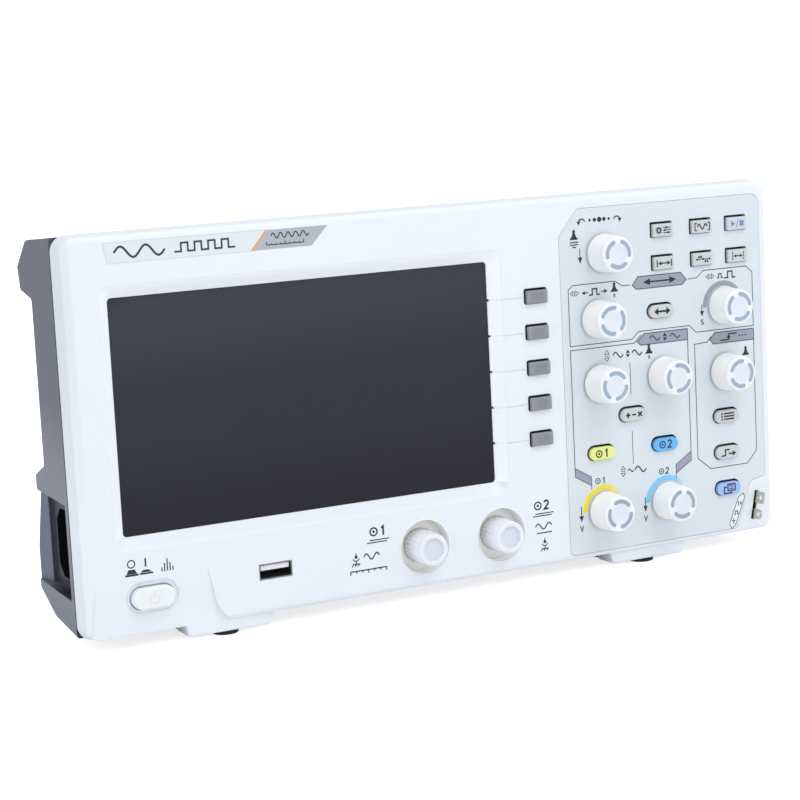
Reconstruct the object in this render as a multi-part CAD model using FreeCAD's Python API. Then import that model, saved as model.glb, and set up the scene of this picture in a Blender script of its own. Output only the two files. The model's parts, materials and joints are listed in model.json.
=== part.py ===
import FreeCAD, Part
import math
import os
from FreeCAD import Vector

# Bench oscilloscope, 7 inch display, two channels.
#
# Layout frame used below: X to the right seen from the front, measured from
# the left edge of the front panel; Y into the instrument, 0 on the seam
# between front panel and rear cover; Z up, measured from the lower edge of
# the front panel.  save() moves every piece to the part's own frame: origin
# in the middle of the footprint, on the plane the rubber pads stand on,
# front towards -Y.

# ------------------------------------------------------ shared dimensions
PANEL_W = 301.0          # front panel width
PANEL_H = 144.5          # front panel height, without feet
BEZEL = 8.0              # seam to front face
WALL = 2.6               # front wall
SIDE = 2.5               # side walls
R_PANEL = 6.0            # corner radius of the outline
FACE = -BEZEL            # Y of the front face
INNER = FACE + WALL      # Y of the inside of the front wall
WALL_CUT = (FACE - 1.0, INNER + 0.5)     # Y range of cuts through the wall
ROOT = INNER - 0.5       # bosses behind the wall start inside it

SCREEN = (18.1, 171.1, 35.9, 121.4)      # visible display: left, right, bottom, top
SCREEN_SET = 4.0         # display sits this far behind the face
WINDOW_SEAT = FACE + SCREEN_SET + 0.4

FASCIA_T = 0.8           # control overlay
FASCIA_POCKET = 0.6
OVERLAY_FRONT = FACE + FASCIA_POCKET - FASCIA_T

PCB_T = 1.6
KEYPAD_Y = 2.5           # front of the keypad board
MAIN_Y = 10.0            # front of main board and power board
POST_GAP = 0.05          # posts and sockets end this far before a board
PART_GAP = 0.02          # mounted parts keep this far from a board
BOARD_BACK = MAIN_Y + PCB_T + PART_GAP   # parts on main and power board start here

KNOB_BASE = FACE - 0.9
KNOB_TIP = FACE - 11.3
SWITCH_TIP = KEYPAD_Y - 2.6              # front of the key switch plungers
POWER_SWITCH_Y = 2.8                     # front of the power switch body
POWER_PLUNGER_Y = POWER_SWITCH_Y - 0.6

BNC_R = 10.1             # recess round each input socket
BNC_FLOOR = -3.0
BNC_Z = 16.0
BNC_X = (136.9, 170.5)

REAR = 50.7              # seam to rear
FOOT_H = 5.4             # underside of the pads below the panel's lower edge
FOOT_BOTTOM = -3.8       # underside of the foot blocks
# feet: left and right at the top, left and right at the bottom
FEET = ((38.7, 73.8, 40.0, 72.5), (221.0, 257.4, 222.4, 256.0))
PAD_X = (56.2, 239.2)
PAD_Y = (-0.6, 40.0)
PAD_R = 5.0
LEG_Y, LEG_Z = 8.0, -1.5  # hinge axis of the tilt legs
LEG_SIDE = 1.9           # the leg's bay starts this far inside the foot

SHIFT = Vector(-PANEL_W / 2, -(REAR + KNOB_TIP) / 2, FOOT_H)

# keys in the panel face: left edge, width, height, centre z, corner radius
KEYS = {}
for i, z in enumerate((106.6, 92.75, 78.9, 65.05, 51.15)):
    KEYS["soft_key_%d" % (i + 1)] = (185.0, 10.7, 6.6, z, 1.1)
for name, x, z in (("utility_key", 243.7, 127.6), ("autoset_key", 262.4, 127.6),
                   ("run_stop_key", 279.5, 127.6), ("measure_key", 243.7, 114.6),
                   ("acquire_key", 262.4, 114.6), ("cursor_key", 279.5, 114.6)):
    KEYS[name] = (x, 11.0, 6.7, z, 0.6)
for name, x, z in (("horizontal_key", 240.9, 95.6), ("math_key", 225.9, 55.8),
                   ("channel_1_key", 210.8, 42.1), ("channel_2_key", 240.9, 42.1),
                   ("trigger_menu_key", 271.1, 49.9), ("force_key", 271.1, 35.0),
                   ("copy_key", 271.1, 20.1)):
    KEYS[name] = (x, 13.1, 6.8, z, 3.39)
POWER = (17.9, 17.2, 8.8, 13.8, 4.39)

# rotary controls: x, z, push function, angle of the first ring insert
KNOBS = {
    "multipurpose": (221.4, 120.8, True, 31.0),
    "horizontal_position": (217.9, 95.3, True, -3.0),
    "horizontal_scale": (277.9, 95.2, False, 48.0),
    "channel_1_position": (218.0, 69.8, True, 75.0),
    "channel_2_position": (247.8, 69.8, True, 62.0),
    "trigger_level": (278.1, 68.2, True, 2.0),
    "channel_1_scale": (218.1, 19.1, False, 76.0),
    "channel_2_scale": (247.8, 19.1, False, 22.0),
}

# screw places (x, z)
CASE_SCREWS = ((7.5, 103.5), (293.5, 103.5), (7.5, 66.0), (293.5, 66.0))
MAIN_SCREWS = ((98.0, 24.0), (153.7, 24.0), (98.0, 134.0), (170.0, 134.0))
POWER_SCREWS = ((44.0, 23.5), (20.0, 134.0), (80.0, 134.0))
KEYPAD_SCREWS = ((188.0, 40.0), (188.0, 118.0), (287.0, 104.0), (287.5, 58.0))

# control overlay outline (x, z) and its corner radii
FASCIA = [(201.5, 2.6), (282.2, 2.6), (289.4, 21.6), (296.8, 22.9),
          (296.8, 138.9), (210.2, 138.9), (201.5, 128.6)]
FASCIA_RADII = [2.5, 2.5, 2.5, 1.2, 4.0, 3.0, 3.0]

SLOT_X, SLOT_Z = 291.1, 11.3   # probe compensation slot, centre
SLOT_TILT = 11.5         # degrees from vertical
SLOT_L = 12.0
SLOT_W = 1.8

# ---------------------------------------------------------------- helpers


def box(left, right, front, back, bottom, top):
    return Part.makeBox(right - left, back - front, top - bottom,
                        Vector(left, front, bottom))


def cyl(x, z, radius, front, back):
    return Part.makeCylinder(radius, back - front, Vector(x, front, z), Vector(0, 1, 0))


def cyl_x(left, right, y, z, radius):
    return Part.makeCylinder(radius, right - left, Vector(left, y, z), Vector(1, 0, 0))


def cone(x, z, front_radius, back_radius, front, back):
    return Part.makeCone(front_radius, back_radius, back - front,
                         Vector(x, front, z), Vector(0, 1, 0))


def rounded(points, radii):
    """Closed wire through 3D points of one plane, corners rounded.

    radii is one value for all corners or a list with one per corner."""
    count = len(points)
    if not isinstance(radii, list):
        radii = [radii] * count
    edges, corners = [], []
    for i, (point, radius) in enumerate(zip(points, radii)):
        if radius <= 0:
            corners.append((point, None, point))
            continue
        before = points[i - 1] - point
        after = points[(i + 1) % count] - point
        before.normalize()
        after.normalize()
        half = before.getAngle(after) / 2
        setback = radius / math.tan(half)
        bisector = before + after
        bisector.normalize()
        centre = point + bisector * (radius / math.sin(half))
        corners.append((point + before * setback, centre - bisector * radius,
                        point + after * setback))
    for i, (start, middle, end) in enumerate(corners):
        if middle is not None:
            edges.append(Part.Arc(start, middle, end).toShape())
        following = corners[(i + 1) % count][0]
        if (following - end).Length > 1e-6:
            edges.append(Part.makeLine(end, following))
    return Part.Wire(edges)


def outline(points, radii, y):
    """Rounded wire through (x, z) points at depth y."""
    return rounded([Vector(x, y, z) for x, z in points], radii)


def rectangle(low_a, high_a, low_b, high_b):
    return [(low_a, low_b), (high_a, low_b), (high_a, high_b), (low_a, high_b)]


def rrect(left, right, bottom, top, radius, y):
    return outline(rectangle(left, right, bottom, top), radius, y)


def prism(points, radii, front, back):
    """Prism along Y over (x, z) points."""
    wire = outline(points, radii, 0.0)
    wire.translate(Vector(0, front - wire.BoundBox.YMin, 0))
    return Part.Face(wire).extrude(Vector(0, back - front, 0))


def slab(left, right, bottom, top, radius, front, back):
    return prism(rectangle(left, right, bottom, top), radius, front, back)


def prism_x(points, radii, left, right):
    """Prism along X over (y, z) points."""
    wire = rounded([Vector(left, y, z) for y, z in points], radii)
    return Part.Face(wire).extrude(Vector(right - left, 0, 0))


def prism_z(points, radii, bottom, top):
    """Prism along Z over (x, y) points."""
    wire = rounded([Vector(x, y, bottom) for x, y in points], radii)
    return Part.Face(wire).extrude(Vector(0, 0, top - bottom))


def loft(front_wire, back_wire):
    return Part.makeLoft([front_wire, back_wire], True, True)


def fillet(shape, radius, selects, fallbacks=()):
    """Round the edges that pass selects; smaller radii are tried in turn."""
    for attempt in (radius,) + tuple(fallbacks):
        edges = [edge for edge in shape.Edges if selects(edge)]
        # the kernel raises when a radius does not fit; if none fits the
        # edges stay sharp
        try:
            result = shape.makeFillet(attempt, edges)
            if result.isValid() and result.Volume > 0:
                return result
        except Exception:
            pass
    return shape


def at_y(y, tolerance=1e-3):
    """Edge selector: the whole edge lies at depth y."""
    def selects(edge):
        bounds = edge.BoundBox
        return abs(bounds.YMin - y) < tolerance and abs(bounds.YMax - y) < tolerance
    return selects


def fuse(first, *rest):
    return first.multiFuse(list(rest)).removeSplitter()


def cut(shape, *tools):
    return shape.cut(list(tools))


def group(*shapes):
    return Part.makeCompound([solid for shape in shapes for solid in shape.Solids])


def offset_poly(points, distance):
    """Move every edge of a polygon of (a, b) points inwards by distance."""
    count = len(points)
    following = points[1:] + points[:1]
    area = sum(a * next_b - next_a * b
               for (a, b), (next_a, next_b) in zip(points, following))
    sign = 1.0 if area > 0 else -1.0
    lines = []
    for (a, b), (next_a, next_b) in zip(points, following):
        run_a, run_b = next_a - a, next_b - b
        step = sign * distance / math.hypot(run_a, run_b)
        lines.append((a - run_b * step, b + run_a * step, run_a, run_b))
    moved = []
    for i in range(count):
        a, b, run_a, run_b = lines[i - 1]
        next_a, next_b, next_run_a, next_run_b = lines[i]
        cross = run_a * next_run_b - run_b * next_run_a
        along = ((next_a - a) * next_run_b - (next_b - b) * next_run_a) / cross
        moved.append((a + run_a * along, b + run_b * along))
    return moved


def around_screen(grow):
    """Bounds of the visible display, grown on all sides."""
    left, right, bottom, top = SCREEN
    return left - grow, right + grow, bottom - grow, top + grow


def key_bounds(key, grow=0.0):
    left, width, height, z, _ = key
    return left - grow, left + width + grow, z - height / 2 - grow, z + height / 2 + grow


OPENING_TRIM = 0.25                      # opening inside the nominal outline,
OPENING_LEFT, OPENING_UP = 0.25, 0.3     # and moved this far


def key_opening(key, front, back):
    """Opening of a control key: the keys sit low and to the right in it."""
    left, right, bottom, top = key_bounds(key, -OPENING_TRIM)
    return slab(left - OPENING_LEFT, right - OPENING_LEFT,
                bottom + OPENING_UP, top + OPENING_UP,
                max(0.3, key[4] - OPENING_TRIM), front, back)


def slot_box(width, length, front, back, along=0.0):
    """Box in line with the tilted slot, moved along it."""
    block = box(-width / 2, width / 2, front, back, -length / 2 + along, length / 2 + along)
    block.rotate(Vector(0, 0, 0), Vector(0, 1, 0), SLOT_TILT)
    block.translate(Vector(SLOT_X, 0, SLOT_Z))
    return block


def foot_block(foot, top, front, back):
    top_left, top_right, bottom_left, bottom_right = foot
    return prism([(top_left, top), (bottom_left, FOOT_BOTTOM),
                  (bottom_right, FOOT_BOTTOM), (top_right, top)],
                 [0, 1.2, 1.2, 0], front, back)


def pad_recess(x, y):
    return Part.makeCylinder(PAD_R + 0.1, 0.6, Vector(x, y, FOOT_BOTTOM - 0.01))


def save(name, shape):
    placed = shape.copy()
    placed.translate(SHIFT)
    placed.exportStep("parts/" + name + ".step")


# ------------------------------------------------------------ front panel
DRAFT = 1.0              # how much the panel narrows per side at the face
EDGE_LEFT = 4.2          # sloped border of the face, left side
EDGE_BOTTOM = 1.9        # the same at the bottom
EDGE = 2.5               # the same at the right and the top
EDGE_DEPTH = 0.95
BEVEL = 3.8              # width of the sloped frame around the display
BEVEL_OUTER = BEVEL + 1.0                # its outer edge on the face
BEVEL_INNER = BEVEL - 0.2                # end of its flat lead-in
LEAD_IN_Y = FACE + 0.35
USB_OPENING = (68.0, 81.4, 13.3, 19.3)   # left, right, bottom, top

LEAN = 1.6               # set-back of the leaning part of the face at z = 0
LEAN_TOP = 21.4
LEAN_LOW = -6.0          # the cutters reach down to here
LEAN_RIGHT = 61.0
# right border (x, z) of the leaning part, from the top down
LEAN_CURVE = [(47.8, LEAN_TOP), (49.1, 15.5), (50.3, 10.5),
              (52.1, 5.2), (55.6, 1.4), (LEAN_RIGHT, -0.6)]

# screw posts: places, radius, rear end, front and back of the bore
POSTS = (
    (CASE_SCREWS, 3.2, 5.9, -0.8, 7.0),
    (MAIN_SCREWS + POWER_SCREWS, 3.0, MAIN_Y - POST_GAP, 2.9, 12.0),
    (KEYPAD_SCREWS, 3.0, KEYPAD_Y - POST_GAP, -4.3, 5.0),
)


def lean_y(z):
    """Depth of the leaning lower left part of the face at height z."""
    return FACE + LEAN * (LEAN_TOP - z) / LEAN_TOP


def lean_wedge(width):
    """Space in front of the leaning plane."""
    front = -14.0
    return prism_x([(front, LEAN_TOP), (FACE, LEAN_TOP),
                    (lean_y(LEAN_LOW), LEAN_LOW), (front, LEAN_LOW)], 0, 0.0, width)


def lean_region():
    """Outline of the leaning part, extruded through the face."""
    front = -12.0
    curve = Part.BSplineCurve()
    curve.interpolate([Vector(x, front, z) for x, z in LEAN_CURVE])
    border = [LEAN_CURVE[-1], (LEAN_RIGHT, LEAN_LOW), (1.2, LEAN_LOW),
              (5.2, LEAN_TOP), LEAN_CURVE[0]]
    border = [Vector(x, front, z) for x, z in border]
    lines = [Part.makeLine(start, end) for start, end in zip(border, border[1:])]
    return Part.Face(Part.Wire([curve.toShape()] + lines)).extrude(Vector(0, 9, 0))


def panel_shell():
    rim_y = FACE + EDGE_DEPTH
    inset = DRAFT * (BEZEL - EDGE_DEPTH) / BEZEL

    def rim():
        return rrect(inset, PANEL_W - inset, inset, PANEL_H - inset,
                     R_PANEL - inset, rim_y)

    front = rrect(EDGE_LEFT, PANEL_W - EDGE, EDGE_BOTTOM, PANEL_H - EDGE,
                  R_PANEL - 2.0, FACE)
    body = fuse(loft(rrect(0, PANEL_W, 0, PANEL_H, R_PANEL, 0.0), rim()),
                loft(rim(), front))
    body = fillet(body, 0.9, at_y(rim_y), (0.6, 0.4))
    body = fillet(body, 2.0, at_y(FACE), (1.2, 0.6))
    body = cut(body, lean_region().common(lean_wedge(62.0)))
    return cut(body, slab(SIDE, PANEL_W - SIDE, SIDE, PANEL_H - SIDE,
                          R_PANEL - 2, INNER, 1.0))


def front_feet():
    blocks = []
    for i, foot in enumerate(FEET):
        block = foot_block(foot, 1.2, FACE + 0.6, 4.4)
        if i == 0:
            # this foot runs up into the leaning part of the face
            block = fuse(block, box(foot[0], LEAN_RIGHT, FACE + 0.6, INNER + 0.2, 1.1, 5.0))
        block = cut(block, lean_wedge(PANEL_W))
        blocks.append(fillet(block, 0.8, at_y(lean_y(FOOT_BOTTOM), 1e-2), (0.5,)))
    return blocks


def display_cuts():
    """Sloped frame, display opening and window seat."""
    def lead_in():
        return rrect(*around_screen(BEVEL_INNER), 3.2, LEAD_IN_Y)

    back = 0.0
    return [loft(rrect(*around_screen(BEVEL_OUTER), 4.2, FACE), lead_in()),
            loft(lead_in(), rrect(*SCREEN, 1.5, FACE + SCREEN_SET)),
            slab(*around_screen(BEVEL_OUTER), 4.2, FACE - 1.0, FACE),
            slab(*SCREEN, 1.5, FACE + SCREEN_SET - 0.1, back),
            slab(*around_screen(3.0), 1.0, WINDOW_SEAT, back)]


def power_key_cuts():
    """Dish round the power key, and its hole."""
    radius = POWER[4]
    return [loft(rrect(*key_bounds(POWER, 2.4), radius + 2.2, FACE - 0.6),
                 rrect(*key_bounds(POWER, 0.9), radius + 0.8, FACE + 1.25)),
            slab(*key_bounds(POWER), radius, *WALL_CUT)]


def guide_line_cuts():
    """Engraved lines from the display, over its sloped frame, to the soft
    keys, with a small notch at the display's edge."""
    depth = 0.18
    half = 0.2
    notch_half = 0.45
    end = 184.2
    right = SCREEN[1]
    display = FACE + SCREEN_SET
    path = [(right - 0.5, FACE - 0.5), (end, FACE - 0.5), (end, FACE + depth),
            (right + BEVEL_OUTER, FACE + depth), (right + BEVEL_INNER, LEAD_IN_Y + depth),
            (right, display + depth), (right - 0.5, display + depth)]
    tools = []
    for key_name, (_, _, _, z, _) in KEYS.items():
        if key_name.startswith("soft_key"):
            tools.append(prism_z(path, 0, z - half, z + half))
            tools.append(box(right - 0.2, right + 0.75, FACE + 2.9, display + 0.5,
                             z - notch_half, z + notch_half))
    return tools


def front_panel():
    parts = [slab(*around_screen(6.0), 2.0, ROOT, -2.3)]
    for x in BNC_X:
        parts.append(cyl(x, BNC_Z, BNC_R + 2.2, ROOT, BNC_FLOOR + 2.4))
        parts.append(cone(x, BNC_Z, BNC_R + 0.6, BNC_R + 1.0, FACE - 0.3, FACE + 0.5))
    for places, radius, end, _, _ in POSTS:
        parts += [cyl(x, z, radius, ROOT, end) for x, z in places]
    body = fuse(panel_shell(), *parts, *front_feet())

    tools = display_cuts()
    tools.append(prism(FASCIA, FASCIA_RADII, FACE - 1.0, FACE + FASCIA_POCKET))
    tools += [key_opening(key, *WALL_CUT) for key in KEYS.values()]
    tools += [cyl(x, z, 3.8, *WALL_CUT) for x, z, *_ in KNOBS.values()]
    tools += power_key_cuts()
    for x in BNC_X:
        tools.append(cone(x, BNC_Z, BNC_R + 0.35, BNC_R - 0.1, FACE - 0.4, BNC_FLOOR))
        tools.append(cyl(x, BNC_Z, 6.7, BNC_FLOOR - 0.5, 0.5))
    left, right, bottom, top = USB_OPENING
    tools.append(box(left, right, *WALL_CUT, bottom, top))
    tools.append(slot_box(SLOT_W, SLOT_L, *WALL_CUT))
    for places, _, _, bore_front, bore_back in POSTS:
        tools += [cyl(x, z, 1.5, bore_front, bore_back) for x, z in places]
    tools += [pad_recess(x, PAD_Y[0]) for x in PAD_X]
    # foot blocks pass under the rear cover with a small gap
    for left, right, _, _ in FEET:
        tools.append(box(left - 1, right + 1, 0.0, 6.0, 0.25, 1.4))
    return cut(body, *tools, *guide_line_cuts())


def control_fascia():
    plate = prism(offset_poly(FASCIA, 0.1), FASCIA_RADII, OVERLAY_FRONT,
                  FACE + FASCIA_POCKET)
    plate = fillet(plate, 0.3, at_y(OVERLAY_FRONT), (0.2,))
    # the soft keys lie to the left of the overlay
    tools = [key_opening(key, FACE - 1, FACE + 1)
             for key in KEYS.values() if key[0] > 200]
    tools += [cyl(x, z, 3.9, FACE - 1, FACE + 1) for x, z, *_ in KNOBS.values()]
    return cut(plate, *tools)


def display_window():
    front = WINDOW_SEAT + 0.02
    return slab(*around_screen(2.85), 0.9, front, front + 1.2)


# ------------------------------------------------------------------- keys
KEY_GAP = 0.8            # key edge to nominal outline
KEY_TRAVEL = 0.8
KEY_FRONT = FACE - 1.6
KEY_BACK = SWITCH_TIP - KEY_TRAVEL - 0.05
POWER_TRAVEL = 2.5
POWER_FRONT = FACE - 1.7
POWER_BACK = POWER_PLUNGER_Y - POWER_TRAVEL - 0.1
FLANGE_Y = INNER + 0.1   # front of the flange behind the wall
STEM_H = 3.4


def key_shape(key, front, back, stem_width, crown=0.5, gap=KEY_GAP):
    """Cap with rounded front, flange behind the panel wall, stem to the switch."""
    left, width, _, z, radius = key
    cap = slab(*key_bounds(key, -gap), max(radius - gap, 0.3), front, FLANGE_Y + 0.4)
    cap = fillet(cap, crown, at_y(front), (0.3,))
    flange = slab(*key_bounds(key, 0.9), max(radius, 0.8), FLANGE_Y, FLANGE_Y + 0.9)
    x = left + width / 2
    stem = box(x - stem_width / 2, x + stem_width / 2, FLANGE_Y + 0.4, back,
               z - STEM_H / 2, z + STEM_H / 2)
    return fuse(cap, flange, stem)


def tact_switch(key):
    left, width, _, z, _ = key
    x = left + width / 2
    half = 3.0
    return fuse(box(x - half, x + half, KEYPAD_Y - 2.0, KEYPAD_Y - PART_GAP,
                    z - half, z + half),
                cyl(x, z, 1.6, SWITCH_TIP, KEYPAD_Y - 1.9))


# -------------------------------------------------------- rotary controls
KNOB_R = 7.6
KNOB_TIP_R = 7.05
INSERT_R, INSERT_W = 5.02, 1.62   # seats for the coloured inserts
INSERT_SPAN = math.radians(76)
DISH_R, DISH_DEPTH = 22.0, 0.35
SHAFT_R = 3.0
SHAFT_REAR_R = 2.5
FLAT_BACK = KNOB_BASE - 2.4       # rear end of the flat on the shaft
RUN = 0.05                        # running clearance
BUSH_R = 3.5
SHAFT_STEP = -3.6                 # front of the thinner rear part
ROTOR_R = 4.82
ROTOR_FRONT = -2.9
ROTOR_BACK = KEYPAD_Y - 1.1


def flat_box(x, z, start, end, front, back):
    """Box that takes a flat off the right side of a shaft or bore."""
    return box(x + start, x + end, front, back, z - 4, z + 4)


def arc_slot(x, z, middle, front, back):
    """Curved slot with round ends about (x, z), centred on angle middle."""
    first, last = middle - INSERT_SPAN / 2, middle + INSERT_SPAN / 2
    half = INSERT_W / 2
    outer, inner = INSERT_R + half, INSERT_R - half

    def point(radius, angle):
        return Vector(x + radius * math.cos(angle), front, z + radius * math.sin(angle))

    def end_cap(angle, direction):
        return (point(INSERT_R, angle)
                + Vector(-math.sin(angle), 0, math.cos(angle)) * (direction * half))

    arcs = [(point(outer, first), point(outer, middle), point(outer, last)),
            (point(outer, last), end_cap(last, 1), point(inner, last)),
            (point(inner, last), point(inner, middle), point(inner, first)),
            (point(inner, first), end_cap(first, -1), point(outer, first))]
    wire = Part.Wire([Part.Arc(*arc).toShape() for arc in arcs])
    return Part.Face(wire).extrude(Vector(0, back - front, 0))


def knob(x, z, angle):
    body = fuse(cyl(x, z, KNOB_R, KNOB_BASE - 1.0, KNOB_BASE),
                cone(x, z, KNOB_TIP_R, KNOB_R - 0.15, KNOB_TIP, KNOB_BASE - 1.0))
    body = fillet(body, 1.0, at_y(KNOB_TIP), (0.6,))
    bore_front = KNOB_TIP + 2.9
    bore = cyl(x, z, SHAFT_R + 0.02, bore_front, KNOB_BASE)
    body = cut(body, cyl(x, z, 4.3, KNOB_BASE - 1.4, KNOB_BASE + 0.5),
               bore.cut(flat_box(x, z, 2.22, 4.0, bore_front, FLAT_BACK)),
               Part.makeSphere(DISH_R, Vector(x, KNOB_TIP - DISH_R + DISH_DEPTH, z)))
    for i in range(3):
        body = body.cut(arc_slot(x, z, math.radians(angle + 120.0 * i),
                                 KNOB_TIP - 1.0, KNOB_TIP + 0.55))
    return body


def encoder_body(x, z):
    half = 6.2
    body = box(x - half, x + half, -4.5, KEYPAD_Y - PART_GAP, z - half, z + half)
    body = fuse(body, cyl(x, z, BUSH_R, KNOB_BASE - 0.3, -4.4))
    return cut(body, cyl(x, z, 4.9, -3.5, KEYPAD_Y - 1.0),
               cyl(x, z, SHAFT_R + RUN, KNOB_BASE - 1.0, -3.4))


def shaft(x, z, push):
    """A push shaft slides in its rotor; a plain one has the rotor in one piece."""
    front = cyl(x, z, SHAFT_R, KNOB_TIP + 3.0, SHAFT_STEP + 0.05)
    front = front.cut(flat_box(x, z, 2.2, 4.0, KNOB_TIP + 2.0, FLAT_BACK))
    if push:
        rear = cyl(x, z, SHAFT_REAR_R, SHAFT_STEP, ROTOR_BACK - 0.5)
        return fuse(front, rear.cut(flat_box(x, z, 1.75, 3.0, SHAFT_STEP + 0.05, 5.0)))
    return fuse(front, cyl(x, z, SHAFT_REAR_R, SHAFT_STEP, ROTOR_BACK - 0.1),
                cyl(x, z, ROTOR_R, ROTOR_FRONT, ROTOR_BACK - 0.1))


def rotor(x, z):
    hole = cyl(x, z, SHAFT_REAR_R + RUN, ROTOR_FRONT - 1, ROTOR_BACK + 1)
    hole = hole.cut(flat_box(x, z, 1.8, 4.0, -6.0, 6.0))
    return cyl(x, z, ROTOR_R, ROTOR_FRONT, ROTOR_BACK).cut(hole)


# ------------------------------------------------------------- rear cover
# side outline as (y, z): deep grip ridge along the top, recess, deep base
PROFILE = [(0.0, 0.4), (31.0, 2.4), (REAR, 9.8), (REAR, 25.6), (46.4, 48.5),
           (46.2, 54.2), (32.9, 59.3), (32.9, 119.6), (48.2, 122.0),
           (REAR, 131.2), (36.7, 141.3), (0.0, 143.9)]
PROFILE_R = [0, 9.0, 2.0, 4.0, 4.0, 1.5, 1.5, 1.5, 1.5, 1.2, 2.0, 0]
INNER_PROFILE_R = [0, 10.0, 1.0, 4.0, 4.0, 1.5, 4.0, 4.0, 1.5, 1.0, 2.0, 0]
TAPER = 0.069            # side taper of the rear cover
SIDE_GAP = 0.4           # its sides lie this far inside the panel's at the seam
POCKET = (6.2, 13.5, 48.3)           # mains pocket: front y, lower z, upper z
INLET = (16.0, 38.0, 16.6, 42.4)     # pocket floor opening: front, back, bottom, top
INLET_CUT = 4.4                      # cut corners of the inlet
VENT_COUNT, VENT_PITCH, VENT_X = 24, 7.9, 60.0


def inlet_face(x, front, back, bottom, top, corner=INLET_CUT,
               radii=[1.5, 0.8, 0.8, 0.8, 0.8, 1.5]):
    """Face across X: the two corners towards the rear are cut off."""
    points = [(front, bottom), (back - corner, bottom), (back, bottom + corner),
              (back, top - corner), (back - corner, top), (front, top)]
    return Part.Face(rounded([Vector(x, y, z) for y, z in points], radii))


def side_limits(inset):
    """Solid between the tapered sides, inset on each side."""
    depth = 60.0
    near = SIDE_GAP + inset
    far = near + TAPER * depth
    return prism_z([(near, 0), (PANEL_W - near, 0), (PANEL_W - far, depth), (far, depth)],
                   0, -20, 180)


def cover_side_edge(edge):
    bounds = edge.BoundBox
    x = (bounds.XMin + bounds.XMax) / 2
    return (x < 6 or x > PANEL_W - 6) and bounds.YMax > 0.01


def cover_outside():
    outer = prism_x(PROFILE, PROFILE_R, -1.0, PANEL_W + 1.0).common(side_limits(0.0))
    return fillet(outer, 1.2, cover_side_edge, (0.9, 0.6, 0.4))


def cover_inside():
    profile = offset_poly(PROFILE, SIDE)
    # the hollow starts in front of the seam
    profile[0] = (-1.0, profile[0][1])
    profile[-1] = (-1.0, profile[-1][1])
    hollow = prism_x(profile, INNER_PROFILE_R, -1.0, PANEL_W + 1.0)
    margin = SIDE_GAP + SIDE
    limits = side_limits(SIDE).fuse(box(margin, PANEL_W - margin, -2, 0.1, -20, 180))
    return hollow.common(limits)


def cover_underside():
    """Rear foot blocks, hinge lugs for the tilt legs, and cheeks beside them."""
    parts = []
    for foot in FEET:
        top_left, top_right, left, right = foot
        parts.append(foot_block(foot, 9.0, 34.0, 46.0))
        middle = (left + right) / 2
        half = 5.9
        parts.append(fuse(cyl_x(middle - half, middle + half, LEG_Y, LEG_Z, 2.6),
                          box(middle - half, middle + half, LEG_Y - 2.2, LEG_Y + 2.2,
                              LEG_Z, 2.4)))
        # cheeks on both sides of the leg carry on the front foot's outline
        cheek = prism([(top_left + 0.3, 3.0), (left + 0.2, -3.5),
                       (right - 0.2, -3.5), (top_right - 0.3, 3.0)],
                      [0, 1.0, 1.0, 0], 4.8, 14.0)
        parts.append(cheek.cut(box(left + LEG_SIDE, right - LEG_SIDE, 3.0, 16.0, -6.0, 6.0)))
    return parts


def mains_pocket():
    """Pocket on the left side, open to the rear, and the block it is cut from."""
    front, bottom, top = POCKET
    outside = -3.0
    pocket = prism_z([(outside, front), (8.0, front), (8.0, 42.0), (6.6, 42.0),
                      (4.5, REAR + 0.3), (outside, REAR + 0.3)], 0, bottom, top)
    block = prism_z([(outside, front - SIDE), (11.3, front - SIDE), (11.3, 44.5),
                     (8.4, REAR + 2), (outside, REAR + 2)], 0, bottom - SIDE, top + SIDE)
    return pocket, block


def seam_gap():
    """Shadow gap along the seam."""
    ring = slab(-2, PANEL_W + 2, -2, PANEL_H + 2, 5.0, -0.5, 2.4)
    return ring.cut(slab(1.2, PANEL_W - 1.2, 1.2, PANEL_H - 1.4, 2.5, -1, 3))


def locating_lip():
    """Inner lip that locates the cover in the front panel."""
    outer = SIDE + 0.12
    inner = SIDE + 1.4
    lip = slab(outer, PANEL_W - outer, outer, PANEL_H - outer, 4.0, -2.0, 1.6)
    lip = lip.cut(slab(inner, PANEL_W - inner, inner, PANEL_H - inner, 3.0, -3, 3))
    return cut(lip, *[cyl(x, BNC_Z, BNC_R + 2.4, -3.0, -0.2) for x in BNC_X])


def rear_cover():
    outside = cover_outside()
    cover = fuse(outside, *cover_underside())
    cover = cut(cover, cover_inside())
    pocket, pocket_block = mains_pocket()
    cover = fuse(cover, pocket_block.common(outside))
    cover = fuse(cover, *[cyl(x, z, 3.7, 6.0, 31.5) for x, z in CASE_SCREWS])
    tools = [pocket, inlet_face(7.0, *INLET).extrude(Vector(6.0, 0, 0))]
    for x, z in CASE_SCREWS:
        tools.append(cyl(x, z, 3.1, 8.0, 40.0))
        tools.append(cyl(x, z, 1.6, 5.0, 9.0))
    for (_, _, left, right), x in zip(FEET, PAD_X):
        tools.append(pad_recess(x, PAD_Y[1]))
        middle = (left + right) / 2
        tools.append(cyl_x(middle - 7, middle + 7, LEG_Y, LEG_Z, 1.55))
    tools.append(seam_gap())
    # ventilation slots in the recessed rear wall
    for i in range(VENT_COUNT):
        x = VENT_X + i * VENT_PITCH
        tools.append(slab(x - 1.4, x + 1.4, 66.0, 112.0, 1.39, 29.0, 34.0))
    return fuse(cut(cover, *tools), locating_lip())


# --------------------------------------------------------- legs and pads
LEG_END = 32.4           # free end of the folded leg


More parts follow.
